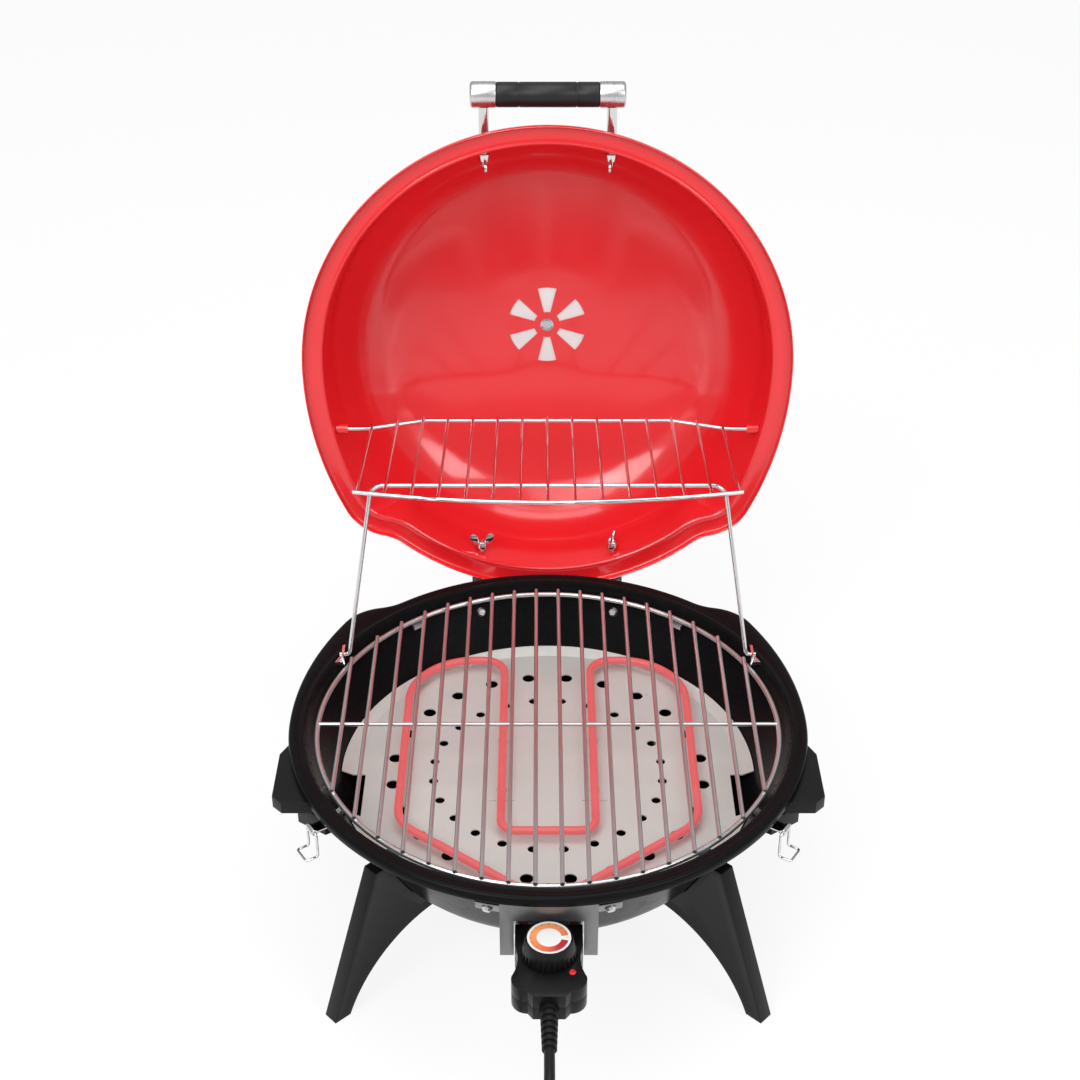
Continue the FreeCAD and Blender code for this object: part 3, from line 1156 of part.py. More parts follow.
lead_radii = cord_radii(lead_points)
print("lead radii", [round(r, 1) for r in lead_radii])
lead_path = rounded_path(lead_points, lead_radii)
lead_tube = tube(lead_path, S.cord_diameter)
check_tube("cord_lead", lead_tube, lead_path)
piece("cord_lead", plain(lead_tube))

# Coil: it spirals in on the upper layer, drops a layer where the spiral reverses, and spirals out below
coil_total = S.coil_half_turns * math.pi
coil_outer = S.coil_inner + S.coil_pitch * S.coil_half_turns / 4
coil_low = S.coil_lift + S.cord_diameter / 2
coil_start = lead_points[-1]
coil_centre = coil_start + Vector(-S.cord_diameter, coil_outer, 0)


def coil_place(angle):
    away = abs(angle - coil_total / 2)
    radius = S.coil_inner + S.coil_pitch * away / (2 * math.pi)
    drop = min(max((angle - coil_total / 2) / math.pi + 0.5, 0), 1)
    smooth = drop * drop * (3 - 2 * drop)
    z = coil_start.z + (coil_low - coil_start.z) * smooth
    heading = -math.pi / 2 - angle
    return Vector(coil_centre.x + radius * math.cos(heading), coil_centre.y + radius * math.sin(heading), z)


def coil_heading(angle):
    step = math.pi / 180
    if angle <= 0 or angle >= coil_total:
        return Vector(math.sin(-math.pi / 2 - angle), -math.cos(-math.pi / 2 - angle), 0)
    return (coil_place(angle + step) - coil_place(angle - step)).normalize()


def biarc(start, start_heading, end, end_heading):
    # Two tangent arcs between two places with given headings
    chord = end - start
    both = start_heading + end_heading
    slope = chord.dot(both)
    spare = 2 * (1 - start_heading.dot(end_heading))
    reach = (math.sqrt(slope ** 2 + spare * chord.dot(chord)) - slope) / spare
    first = start + start_heading * reach
    second = end - end_heading * reach
    middle = (first + second) / 2
    edges = []
    for a, corner, b in ((start, first, middle), (middle, second, end)):
        inward = (a + b) / 2 - corner
        half = (b - a).Length / 2
        height = inward.Length
        side = (a - corner).Length
        bow = half * (side - half) / height
        edges.append(Part.Arc(a, (a + b) / 2 - inward.normalize() * bow, b).toShape())
    return edges


quarter_count = int(2 * S.coil_half_turns)
quarter_angles = [coil_total * i / quarter_count for i in range(quarter_count + 1)]
coil_edges = [Part.makeLine(coil_start, coil_place(0))]
for here, there in zip(quarter_angles, quarter_angles[1:]):
    coil_edges += biarc(coil_place(here), coil_heading(here), coil_place(there), coil_heading(there))
coil_end = coil_place(coil_total)
plug_start = coil_end + coil_heading(coil_total) * S.coil_tail
coil_edges.append(Part.makeLine(coil_end, plug_start))
coil_path = Part.Wire(coil_edges)


def least_gap():
    # Distance between places of the coil that are more than half a turn apart, less one diameter
    per_turn = 72
    count = int(per_turn * S.coil_half_turns / 2)
    places = [coil_place(coil_total * i / count) for i in range(count + 1)]
    apart = per_turn // 2
    near = min((places[i] - places[j]).Length for i in range(count + 1) for j in range(i + apart,
                                                                                       count + 1))
    return near - S.cord_diameter


ring = Part.makeCircle(S.cord_diameter / 2, coil_start, Vector(-1, 0, 0))
coil_maker = Part.BRepOffsetAPI.MakePipeShell(coil_path)
coil_maker.add(Part.Wire(ring))
coil_maker.build()
coil_maker.makeSolid()
coil_tube = coil_maker.shape()
check_tube("cord_coil", coil_tube, coil_path)
print("coil gap to itself %.2f mm" % least_gap())
piece("cord_coil", plain(coil_tube))


# Tie round the turns, on the far side of the coil from the lead
def cord_tie():
    near = S.coil_inner - S.cord_diameter / 2 - S.tie_gap
    far = coil_outer + S.cord_diameter / 2 + S.tie_gap
    low = coil_low - S.cord_diameter / 2 - S.tie_gap / 2
    high = coil_start.z + S.cord_diameter / 2 + S.tie_gap / 2
    wall = S.tie_wall
    corner = Vector(coil_centre.x - far, coil_centre.y - S.tie_width / 2, low)
    outer = Part.makeBox(far - near + 2 * wall, S.tie_width, high - low + 2 * wall,
                         corner - Vector(wall, 0, wall))
    inner = Part.makeBox(far - near, S.tie_width + 2 * S.cut_over, high - low,
                         corner - Vector(0, S.cut_over, 0))
    return outer.cut(inner)


piece("cord_tie", plain(cord_tie()))
plug_face = plug_start.x + S.plug_length
plug_box = Part.makeBox(S.plug_length, S.plug_width, S.plug_height,
                        Vector(plug_start.x, plug_start.y - S.plug_width / 2, S.plug_floor_gap))
upright_and_long = [e for e in plug_box.Edges if abs(e.tangentAt(e.FirstParameter).y) < 1 / 2]
piece("plug_body", plain(plug_box.makeFillet(S.plug_edge, upright_and_long)))
blade_level = S.plug_floor_gap + S.plug_height - S.blade_width
blades = [plain(Part.makeBox(S.blade_length, S.blade_wall, S.blade_width,
                             Vector(plug_face, plug_start.y + sign * S.blade_half_span - S.blade_wall / 2,
                                    blade_level - S.blade_width / 2))) for sign in sides.values()]
earth = plain(Part.makeCylinder(S.earth_pin / 2, S.earth_length,
                                Vector(plug_face, plug_start.y, blade_level - S.earth_offset),
                                Vector(1, 0, 0)))
piece("plug_blades", grouped(blades + [earth]))


# Every object has to be sound before anything is written
doc.recompute()
for obj in doc.Objects:
    if "Invalid" in obj.State or "Error" in obj.State:
        raise RuntimeError("%s failed: %s" % (obj.Label, obj.State))
for obj in exported:
    if obj.Shape.isNull() or not obj.Shape.isValid():
        raise RuntimeError(obj.Label + " has no valid shape")
os.makedirs("parts", exist_ok=True)
for obj in exported:
    obj.Shape.exportStep("parts/%s.step" % obj.Label)
print("wrote %d pieces" % len(exported))
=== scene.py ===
import math

import bpy
from mathutils import Matrix, Vector


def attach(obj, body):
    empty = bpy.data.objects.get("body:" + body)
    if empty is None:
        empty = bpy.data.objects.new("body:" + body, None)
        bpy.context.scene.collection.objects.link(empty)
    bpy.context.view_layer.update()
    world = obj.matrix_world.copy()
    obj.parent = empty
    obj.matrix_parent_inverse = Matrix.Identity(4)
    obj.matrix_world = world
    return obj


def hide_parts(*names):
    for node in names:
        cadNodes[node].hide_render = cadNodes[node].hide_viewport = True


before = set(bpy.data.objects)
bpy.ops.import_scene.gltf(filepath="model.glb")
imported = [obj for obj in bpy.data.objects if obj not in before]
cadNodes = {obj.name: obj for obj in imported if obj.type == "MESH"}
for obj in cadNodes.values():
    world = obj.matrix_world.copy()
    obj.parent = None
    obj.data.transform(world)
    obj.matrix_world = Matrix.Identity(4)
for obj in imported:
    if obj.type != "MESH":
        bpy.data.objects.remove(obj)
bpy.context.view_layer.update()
bpy.context.scene.view_settings.view_transform = "Standard"
print("frame loaded with", len(cadNodes), "nodes")




# small helpers for shader nodes
def addNode(n, kind, **settings):
    node = n.new("ShaderNode" + kind)
    for key, value in settings.items():
        setattr(node, key, value)
    return node


def fillInputs(node, values):
    for label, value in values.items():
        node.inputs[label].default_value = value


def combine(n, l, operation, first, second):
    # each of first and second is a number or the output of a node
    node = addNode(n, "Math", operation=operation)
    for slot, value in enumerate((first, second)):
        if isinstance(value, float):
            node.inputs[slot].default_value = value
        else:
            l.new(value, node.inputs[slot])
    return node.outputs[0]


mixSlots = {"factor": 0, "first": 6, "second": 7, "result": 2}


def mixColours(n, l, factor, first, second):
    # each of first and second is a colour or the output of a node
    mix = addNode(n, "Mix", data_type="RGBA")
    l.new(factor, mix.inputs[mixSlots["factor"]])
    for slot, value in (("first", first), ("second", second)):
        if isinstance(value, tuple):
            mix.inputs[mixSlots[slot]].default_value = (*value, 1)
        else:
            l.new(value, mix.inputs[mixSlots[slot]])
    return mix.outputs[mixSlots["result"]]


def spanValue(n, l, mask, give, take=(0.3, 0.7)):
    span = addNode(n, "MapRange")
    fillInputs(span, {"From Min": take[0], "From Max": take[1], "To Min": give[0], "To Max": give[1]})
    l.new(mask, span.inputs["Value"])
    return span.outputs["Result"]


# camera, lamps and floor
studio = {
    "eye": (-0.0076, -1.3456, 1.271), "tilt": 57.25, "lens": 60.0, "sensor": 36.0,
    "skyLow": (0.62, 0.62, 0.63, 1), "skyHigh": (0.86, 0.86, 0.87, 1), "skyStrength": 0.62,
    "floorHalf": 40.0, "floorShift": (0, 1.5, 0), "floorGlow": 0.86, "floorRough": 0.85, "floorShine": 0.1,
    "floorColour": (0.95, 0.95, 0.95), "floorDim": (0.93, 0.93, 0.93), "floorNoise": 3.0,
    "lamps": [
        ("keyLamp", (-1.5, -1.7, 2.3), (0.0, 0.1, 0.25), (1.3, 1.3), 30.0),
        ("fillLamp", (1.7, -1.5, 1.9), (0.0, 0.1, 0.25), (1.1, 1.1), 20.0),
        ("topLamp", (0.0, 0.2, 2.6), (0.0, 0.1, 0.2), (1.8, 1.4), 22.0),
    ],
    "sunTurn": (38, 0, -18), "sunStrength": 0.8, "sunSpread": 35,
}


def setStudio(s):
    cam = bpy.data.cameras.new("camera")
    cam.lens, cam.sensor_width = s["lens"], s["sensor"]
    camObj = bpy.data.objects.new("camera", cam)
    camObj.location = s["eye"]
    camObj.rotation_euler = (math.radians(s["tilt"]), 0, 0)
    bpy.context.scene.collection.objects.link(camObj)
    bpy.context.scene.camera = camObj
    for name, place, aim, size, power in s["lamps"]:
        lamp = bpy.data.lights.new(name, "AREA")
        lamp.shape, lamp.size, lamp.size_y, lamp.energy = "RECTANGLE", size[0], size[1], power
        lampObj = bpy.data.objects.new(name, lamp)
        lampObj.location = place
        lampObj.rotation_euler = (Vector(aim) - Vector(place)).to_track_quat("-Z", "Y").to_euler()
        bpy.context.scene.collection.objects.link(lampObj)
    sun = bpy.data.lights.new("sun", "SUN")
    sun.energy, sun.angle = s["sunStrength"], math.radians(s["sunSpread"])
    sunObj = bpy.data.objects.new("sun", sun)
    sunObj.rotation_euler = [math.radians(a) for a in s["sunTurn"]]
    bpy.context.scene.collection.objects.link(sunObj)
    sky = bpy.data.worlds.new("studioSky")
    bpy.context.scene.world = sky
    sky.use_nodes = True
    n, l = sky.node_tree.nodes, sky.node_tree.links
    place, split, ramp = [addNode(n, kind) for kind in ("TexCoord", "SeparateXYZ", "ValToRGB")]
    ramp.color_ramp.elements[0].color = s["skyLow"]
    ramp.color_ramp.elements[1].color = s["skyHigh"]
    l.new(place.outputs["Generated"], split.inputs[0])
    l.new(split.outputs["Z"], ramp.inputs["Fac"])
    l.new(ramp.outputs["Color"], n["Background"].inputs["Color"])
    fillInputs(n["Background"], {"Strength": s["skyStrength"]})


def addFloor(s):
    bpy.ops.mesh.primitive_plane_add(size=2 * s["floorHalf"], location=s["floorShift"])
    floor = bpy.context.object
    floor.name = "floor"
    mat = bpy.data.materials.new("floorPaint")
    mat.use_nodes = True
    n, l = mat.node_tree.nodes, mat.node_tree.links
    shader = n["Principled BSDF"]
    fillInputs(shader, {"Roughness": s["floorRough"], "Specular IOR Level": s["floorShine"]})
    place, noise = addNode(n, "TexCoord"), addNode(n, "TexNoise")
    fillInputs(noise, {"Scale": s["floorNoise"]})
    l.new(place.outputs["Object"], noise.inputs["Vector"])
    paint = mixColours(n, l, noise.outputs["Fac"], s["floorColour"], s["floorDim"])
    l.new(paint, shader.inputs["Base Color"])
    # seen straight, mirrored or through glass, part of the floor is plain white and the rest keeps the shadow
    path, white, both = [addNode(n, kind) for kind in ("LightPath", "Emission", "MixShader")]
    seen = combine(n, l, "MAXIMUM", path.outputs["Is Camera Ray"], path.outputs["Is Glossy Ray"])
    seen = combine(n, l, "MAXIMUM", seen, path.outputs["Is Transmission Ray"])
    l.new(combine(n, l, "MULTIPLY", seen, s["floorGlow"]), both.inputs["Fac"])
    l.new(shader.outputs["BSDF"], both.inputs[1])
    l.new(white.outputs["Emission"], both.inputs[2])
    l.new(both.outputs["Shader"], n["Material Output"].inputs["Surface"])
    floor.data.materials.append(mat)


bpy.ops.object.select_all(action="DESELECT")
setStudio(studio)
addFloor(studio)
print("studio set")

# node groups that several finishes share
grainSet = {"patchDetail": 4.0, "grainDetail": 2.0, "smearDetail": 6.0, "smearTwist": 1.2, "smearTimes": 3.1,
            "smearSpan": (0.5, 0.72), "patchScale": 12.0, "grainScale": 900.0}
brushSet = {"fineScale": 1.0, "fineDetail": 3.0, "wideScale": 0.22, "wideDetail": 2.0,
            "stretch": (40.0, 900.0, 900.0)}


def newGroup(name, takes, gives):
    group = bpy.data.node_groups.new(name, "ShaderNodeTree")
    for label, kind, value in takes:
        made = group.interface.new_socket(label, in_out="INPUT", socket_type=kind)
        if value is not None:
            made.default_value = value
    for label in gives:
        group.interface.new_socket(label, in_out="OUTPUT", socket_type="NodeSocketFloat")
    start, end = group.nodes.new("NodeGroupInput"), group.nodes.new("NodeGroupOutput")
    return group, group.nodes, group.links, start.outputs, end.inputs


def makeGrainGroup(s):
    takes = [("Place", "NodeSocketVector", None), ("Patch Scale", "NodeSocketFloat", s["patchScale"]),
             ("Grain Scale", "NodeSocketFloat", s["grainScale"])]
    group, n, l, start, end = newGroup("surfaceGrain", takes, ["Patch", "Grain", "Smudge"])
    patch, grain, smear = [addNode(n, "TexNoise") for _ in range(3)]
    fillInputs(patch, {"Detail": s["patchDetail"]})
    fillInputs(grain, {"Detail": s["grainDetail"]})
    fillInputs(smear, {"Detail": s["smearDetail"], "Distortion": s["smearTwist"]})
    for node in (patch, grain, smear):
        l.new(start["Place"], node.inputs["Vector"])
    l.new(start["Patch Scale"], patch.inputs["Scale"])
    l.new(start["Grain Scale"], grain.inputs["Scale"])
    l.new(combine(n, l, "MULTIPLY", start["Patch Scale"], s["smearTimes"]), smear.inputs["Scale"])
    l.new(patch.outputs["Fac"], end["Patch"])
    l.new(grain.outputs["Fac"], end["Grain"])
    l.new(spanValue(n, l, smear.outputs["Fac"], (0.0, 1.0), s["smearSpan"]), end["Smudge"])
    return group


def makeBrushGroup(s):
    takes = [("Place", "NodeSocketVector", None), ("Stretch", "NodeSocketVector", s["stretch"])]
    group, n, l, start, end = newGroup("brushLines", takes, ["Lines", "Bands"])
    times = addNode(n, "VectorMath", operation="MULTIPLY")
    fine, wide = addNode(n, "TexNoise"), addNode(n, "TexNoise")
    fillInputs(fine, {"Scale": s["fineScale"], "Detail": s["fineDetail"]})
    fillInputs(wide, {"Scale": s["wideScale"], "Detail": s["wideDetail"]})
    l.new(start["Place"], times.inputs[0])
    l.new(start["Stretch"], times.inputs[1])
    for node, label in ((fine, "Lines"), (wide, "Bands")):
        l.new(times.outputs[0], node.inputs["Vector"])
        l.new(node.outputs["Fac"], end[label])
    return group


grainGroup = makeGrainGroup(grainSet)
brushGroup = makeBrushGroup(brushSet)

# finishes: colours from and to, roughness from and to, and what differs from the defaults
plainSet = {
    "redEnamel": ((0.70, 0.012, 0.017), (0.79, 0.016, 0.022), (0.17, 0.22), {"coat": 0.5, "bump": 0.03}),
    "blackEnamel": ((0.004, 0.004, 0.0045), (0.007, 0.007, 0.0075), (0.24, 0.32), {"shine": 0.06, "bump": 0.03}),
    "blackPlastic": ((0.0055, 0.0055, 0.006), (0.0075, 0.0075, 0.008), (0.36, 0.41),
                     {"shine": 0.2, "patch": 25, "grain": 2600, "bump": 0.06}),
    "casePlastic": ((0.0055, 0.0055, 0.006), (0.007, 0.007, 0.0075), (0.28, 0.31),
                    {"shine": 0.2, "patch": 30, "grain": 3200, "bump": 0.03}),
    "brightChrome": ((0.66, 0.66, 0.67), (0.80, 0.80, 0.81), (0.08, 0.2),
                     {"metal": 1.0, "patch": 30, "grain": 1500, "bump": 0.03}),
    "screwSteel": ((0.55, 0.55, 0.56), (0.70, 0.70, 0.71), (0.18, 0.34),
                   {"metal": 1.0, "patch": 90, "grain": 2500, "bump": 0.06}),
    "hoodChrome": ((0.20, 0.20, 0.205), (0.27, 0.27, 0.275), (0.34, 0.42),
                   {"metal": 0.85, "shine": 0.3, "patch": 30, "grain": 1500, "bump": 0.03}),
    "damperSteel": ((0.84, 0.84, 0.84), (0.90, 0.90, 0.90), (0.42, 0.5),
                    {"metal": 0.4, "patch": 30, "grain": 1500, "bump": 0.03}),
    "panSteel": ((0.52, 0.53, 0.50), (0.62, 0.63, 0.60), (0.5, 0.6),
                 {"metal": 0.2, "patch": 18, "grain": 1100, "bump": 0.06}),
    "cordRubber": ((0.007, 0.007, 0.0075), (0.010, 0.010, 0.0105), (0.42, 0.5),
                   {"shine": 0.25, "patch": 60, "grain": 2600, "bump": 0.06}),
    "gripRubber": ((0.012, 0.012, 0.013), (0.015, 0.015, 0.016), (0.40, 0.45),
                   {"shine": 0.3, "patch": 60, "grain": 2400, "bump": 0.06}),
    "bladeBrass": ((0.62, 0.45, 0.16), (0.74, 0.56, 0.24), (0.2, 0.36),
                   {"metal": 1.0, "patch": 120, "grain": 2500, "bump": 0.05}),
    "lampRed": ((0.55, 0.012, 0.01), (0.75, 0.03, 0.02), (0.08, 0.16),
                {"coat": 0.6, "patch": 300, "grain": 3000, "bump": 0.02}),
}
finishSet = {"coatRough": 0.08, "bumpDepth": 0.0002, "brushDepth": 0.0001}
ferruleSet = {"first": (0.56, 0.56, 0.57), "second": (0.76, 0.76, 0.77), "rough": (0.2, 0.42),
              "stretch": (1800, 30, 30), "bump": 0.08}
# heating element: coral colour plus a painted glow, emission that stands in for brightness, since the element is
# no lamp
paintedGlowSet = {"patch": 22.0, "grain": 1200.0, "first": (0.28, 0.045, 0.045), "second": (0.36, 0.07, 0.07),
          "glowFirst": (0.92, 0.12, 0.13), "glowSecond": (1.0, 0.18, 0.19), "glow": 0.45,
          "paintedGlowY": (-0.196, -0.186), "rough": (0.4, 0.55), "bump": 0.08}
grateSet = {"patch": 26.0, "grain": 1500.0, "first": (0.58, 0.60, 0.60), "second": (0.50, 0.42, 0.42),
            "warmReach": (0.1, 0.2), "metal": 0.9, "rough": (0.28, 0.36), "bump": 0.04}
dialSet = {
    "centre": (0.0, -0.2605), "patch": 80.0, "grain": 2600.0, "rough": (0.28, 0.4), "bump": 0.04,
    "first": (0.70, 0.70, 0.69), "second": (0.75, 0.75, 0.74),
    "ringInner": (0.0103, 0.0107), "ringOuter": (0.0163, 0.0167), "ticks": 16.0, "tickWide": 0.09,
    "tickReach": (0.0142, 0.0144), "tickInk": (0.2, 0.03, 0.015), "tickShare": 0.75,
    "stops": [(0.0, (0.73, 0.73, 0.72)), (0.022, (0.73, 0.73, 0.72)), (0.027, (0.62, 0.17, 0.08)),
              (0.2, (0.72, 0.26, 0.1)), (0.45, (0.80, 0.32, 0.11)), (0.62, (0.72, 0.2, 0.08)),
              (0.76, (0.62, 0.1, 0.05)), (0.85, (0.42, 0.02, 0.03)), (0.965, (0.4, 0.015, 0.03)),
              (0.97, (0.73, 0.73, 0.72))],
}


def startFinish(name):
    mat = bpy.data.materials.new(name)
    mat.use_nodes = True
    n, l = mat.node_tree.nodes, mat.node_tree.links
    return mat, n, l, n["Principled BSDF"], addNode(n, "TexCoord").outputs["Object"]


def addGrain(n, l, place, patchScale, grainScale):
    grain = addNode(n, "Group", node_tree=grainGroup)
    fillInputs(grain, {"Patch Scale": patchScale, "Grain Scale": grainScale})
    l.new(place, grain.inputs["Place"])
    return grain.outputs


def addBrush(n, l, place, stretch):
    brush = addNode(n, "Group", node_tree=brushGroup)
    fillInputs(brush, {"Stretch": stretch})
    l.new(place, brush.inputs["Place"])
    return brush.outputs


def raiseBump(n, l, height, strength, distance, shader):
    bump = addNode(n, "Bump")
    fillInputs(bump, {"Strength": strength, "Distance": distance})
    l.new(height, bump.inputs["Height"])
    l.new(bump.outputs["Normal"], shader.inputs["Normal"])


def wearGrain(n, l, out, rough, bump, shader):
    l.new(spanValue(n, l, out["Smudge"], rough, (0.0, 1.0)), shader.inputs["Roughness"])
    raiseBump(n, l, out["Grain"], bump, finishSet["bumpDepth"], shader)


def plainFinish(name, first, second, rough, metal=0.0, coat=0.0, shine=0.5, patch=14.0, grain=900.0,
                bump=0.05):
    mat, n, l, shader, place = startFinish(name)
    out = addGrain(n, l, place, patch, grain)
    fillInputs(shader, {"Metallic": metal, "Specular IOR Level": shine, "Coat Weight": coat,
                        "Coat Roughness": finishSet["coatRough"]})
    l.new(mixColours(n, l, out["Patch"], first, second), shader.inputs["Base Color"])
    wearGrain(n, l, out, rough, bump, shader)
    return mat


def brushedFinish(name, s):
    mat, n, l, shader, place = startFinish(name)
    out = addBrush(n, l, place, s["stretch"])
    fillInputs(shader, {"Metallic": 1.0})
    l.new(mixColours(n, l, out["Bands"], s["first"], s["second"]), shader.inputs["Base Color"])
    l.new(spanValue(n, l, out["Lines"], s["rough"]), shader.inputs["Roughness"])
    raiseBump(n, l, out["Lines"], s["bump"], finishSet["brushDepth"], shader)
    return mat


def paintedGlowFinish(name, s):
    mat, n, l, shader, place = startFinish(name)
    out = addGrain(n, l, place, s["patch"], s["grain"])
    l.new(mixColours(n, l, out["Patch"], s["first"], s["second"]), shader.inputs["Base Color"])
    # painted glow: emission brightens the element's coral colour inside the bowl, and the two ends outside the
    # bowl get none
    split = addNode(n, "SeparateXYZ")
    l.new(place, split.inputs[0])
    inside = spanValue(n, l, split.outputs["Y"], (0.0, 1.0), s["paintedGlowY"])
    glow = mixColours(n, l, out["Patch"], s["glowFirst"], s["glowSecond"])
    l.new(mixColours(n, l, inside, (0, 0, 0), glow), shader.inputs["Emission Color"])
    fillInputs(shader, {"Emission Strength": s["glow"]})
    wearGrain(n, l, out, s["rough"], s["bump"], shader)
    return mat


def flatten(n, l, place, keep):
    # the place with some axes dropped, and its distance from the origin
    flat, reach = [addNode(n, "VectorMath", operation=operation) for operation in ("MULTIPLY", "LENGTH")]
    fillInputs(flat, {1: keep})
    l.new(place, flat.inputs[0])
    l.new(flat.outputs["Vector"], reach.inputs[0])
    return flat.outputs["Vector"], reach.outputs["Value"]


def grateFinish(name, s):
    mat, n, l, shader, place = startFinish(name)
    out = addGrain(n, l, place, s["patch"], s["grain"])
    reach = flatten(n, l, place, (1, 1, 0))[1]
    warm = combine(n, l, "MULTIPLY", spanValue(n, l, reach, (1.0, 0.0), s["warmReach"]), out["Patch"])
    l.new(mixColours(n, l, warm, s["first"], s["second"]), shader.inputs["Base Color"])
    fillInputs(shader, {"Metallic": s["metal"]})
    wearGrain(n, l, out, s["rough"], s["bump"], shader)
    return mat


def dialFinish(name, s):
    # white disc with a warm ring from orange to dark red, open at the right, and plain ticks
    mat, n, l, shader, place = startFinish(name)
    out = addGrain(n, l, place, s["patch"], s["grain"])
    shift, around = addNode(n, "Mapping"), addNode(n, "TexGradient", gradient_type="RADIAL")
    fillInputs(shift, {"Location": (-s["centre"][0], -s["centre"][1], 0)})
    l.new(place, shift.inputs["Vector"])
    flat, reach = flatten(n, l, shift.outputs["Vector"], (-1, -1, 0))
    l.new(flat, around.inputs["Vector"])
    turn = around.outputs["Fac"]
    ramp = addNode(n, "ValToRGB")
    stops = ramp.color_ramp.elements
    for k, (at, colour) in enumerate(s["stops"]):
        stop = stops[0] if k == 0 else stops.new(at)
        stop.position, stop.color = at, (*colour, 1)
    stops[-1].color = (*s["stops"][-1][1], 1)
    l.new(turn, ramp.inputs["Fac"])
    ring = combine(n, l, "MULTIPLY", spanValue(n, l, reach, (0.0, 1.0), s["ringInner"]),
                   spanValue(n, l, reach, (1.0, 0.0), s["ringOuter"]))
    step = combine(n, l, "FRACT", combine(n, l, "MULTIPLY", turn, s["ticks"]), 0.0)
    tick = combine(n, l, "MULTIPLY", combine(n, l, "LESS_THAN", step, s["tickWide"]),
                   spanValue(n, l, reach, (0.0, s["tickShare"]), s["tickReach"]))
    inked = mixColours(n, l, tick, ramp.outputs["Color"], s["tickInk"])
    paper = mixColours(n, l, out["Patch"], s["first"], s["second"])
    l.new(mixColours(n, l, ring, paper, inked), shader.inputs["Base Color"])
    wearGrain(n, l, out, s["rough"], s["bump"], shader)
    return mat


finishes = {name: plainFinish(name, *values[:3], **values[3]) for name, values in plainSet.items()}
finishes["ferruleSteel"] = brushedFinish("ferruleSteel", ferruleSet)
finishes["elementPaintedGlow"] = paintedGlowFinish("elementPaintedGlow", paintedGlowSet)
finishes["grateChrome"] = grateFinish("grateChrome", grateSet)
finishes["dialPrint"] = dialFinish("dialPrint", dialSet)

wornBy = {
    "redEnamel": ["lid_shell", "rack_bushings"],
    "blackEnamel": ["bowl_shell"],
    "panSteel": ["reflector_pan", "element_support_left", "element_support_right"],
    # the heating element wears a painted glow from emission
    "elementPaintedGlow": ["heating_element"],
    "hoodChrome": ["terminal_hood"],
    "grateChrome": ["cooking_grate"],
    "damperSteel": ["vent_damper"],
    "screwSteel": ["terminal_plate", "hood_screws", "grate_rests", "side_handle_bolts", "leg_screws",
                   "hinge_bracket_left", "hinge_bracket_right", "hinge_pin_left", "hinge_pin_right",
                   "hinge_bolts", "thermostat_probe", "knob_spindle", "hinge_leaf_left", "hinge_leaf_right",
                   "hinge_leaf_bolts", "vent_bolt"],
    "brightChrome": ["rack_lug_left", "rack_lug_right", "latch_bracket_left", "latch_bracket_right",
                     "handle_posts", "handle_wing_nuts", "hinge_wing_nuts", "rack_bail", "rack_panel",
                     "latch_loop_left", "latch_loop_right"],
    "blackPlastic": ["side_handle_left", "side_handle_right", "leg_front_left", "leg_front_right",
                     "leg_rear_left", "leg_rear_right", "handle_grip"],
    "casePlastic": ["controller_upper_case", "controller_lower_case", "thermostat_switch", "control_knob"],
    "cordRubber": ["strain_relief", "cord_tie", "plug_body", "cord_lead", "cord_coil"],
    "bladeBrass": ["contact_sockets", "plug_blades"],
    "lampRed": ["indicator_lens"],
    "dialPrint": ["dial_disc"],
    "ferruleSteel": ["handle_ferrule_left", "handle_ferrule_right"],
}
for finishName, nodeNames in wornBy.items():
    for nodeName in nodeNames:
        cadNodes[nodeName].data.materials.clear()
        cadNodes[nodeName].data.materials.append(finishes[finishName])
print("finishes made and given to the nodes")

# supply cord: out of the strain relief, down to the table and into a flat coil
cordSet = {
    "thick": 0.009, "length": 1.433, "bevelSteps": 6, "order": 3, "curveSteps": 4,
    "route": [(0, -0.350, 0.143), (0, -0.390, 0.143), (-0.003, -0.421, 0.117), (-0.010, -0.437, 0.079),
              (-0.030, -0.451, 0.044), (-0.064, -0.463, 0.0225), (-0.104, -0.468, 0.0162),
              (-0.142, -0.468, 0.0162)],
    "cornerShare": 0.45, "cornerSteps": 8,
    "coilCentre": (-0.151, -0.40935), "coilInner": 0.0415, "coilPitch": 0.0098, "halfTurns": 7,
    "highZ": 0.0162, "lowZ": 0.0064, "perTurn": 24, "plugX": -0.111,
}


def softCorner(before, corner, after, share, count):
    # points of an arc in place of a corner, from a share of the shorter run before it to the same after it
    a, c, b = Vector(before), Vector(corner), Vector(after)
    turn = (c - a).angle(b - c)
    back = share * min((c - a).length, (b - c).length)
    radius = back / math.tan(turn / 2)
    first, last = c + (a - c).normalized() * back, c + (b - c).normalized() * back
    middle = c + ((a - c).normalized() + (b - c).normalized()).normalized() * (radius / math.cos(turn / 2))
    steps = [first]
    for k in range(1, count):
        steps.append(middle + radius * (first - middle).slerp(last - middle, k / count))
    return steps + [last]


def cordPoints(c):
    route = c["route"]
    points = [Vector(route[0])]
    for k in range(1, len(route) - 1):
        points += softCorner(*route[k - 1:k + 2], c["cornerShare"], c["cornerSteps"])
    points.append(Vector(route[-1]))
    # the coil runs inwards on top, climbs down at its middle and runs outwards below
    full = c["halfTurns"] * math.pi
    half = full / 2
    count = c["perTurn"] * c["halfTurns"] // 2
    for k in range(count + 1):
        angle = full * k / count
        reach = c["coilInner"] + c["coilPitch"] * abs(angle - half) / (2 * math.pi)
        climb = min(1, max(0, (angle - half) / math.pi + 0.5))
        z = c["highZ"] + (c["lowZ"] - c["highZ"]) * climb * climb * (3 - 2 * climb)
        way = -math.pi / 2 - angle
        x = c["coilCentre"][0] + reach * math.cos(way)
        y = c["coilCentre"][1] + reach * math.sin(way)
        points.append(Vector((x, y, z)))
    points.append(Vector((c["plugX"], points[-1].y, c["lowZ"])))
    return points


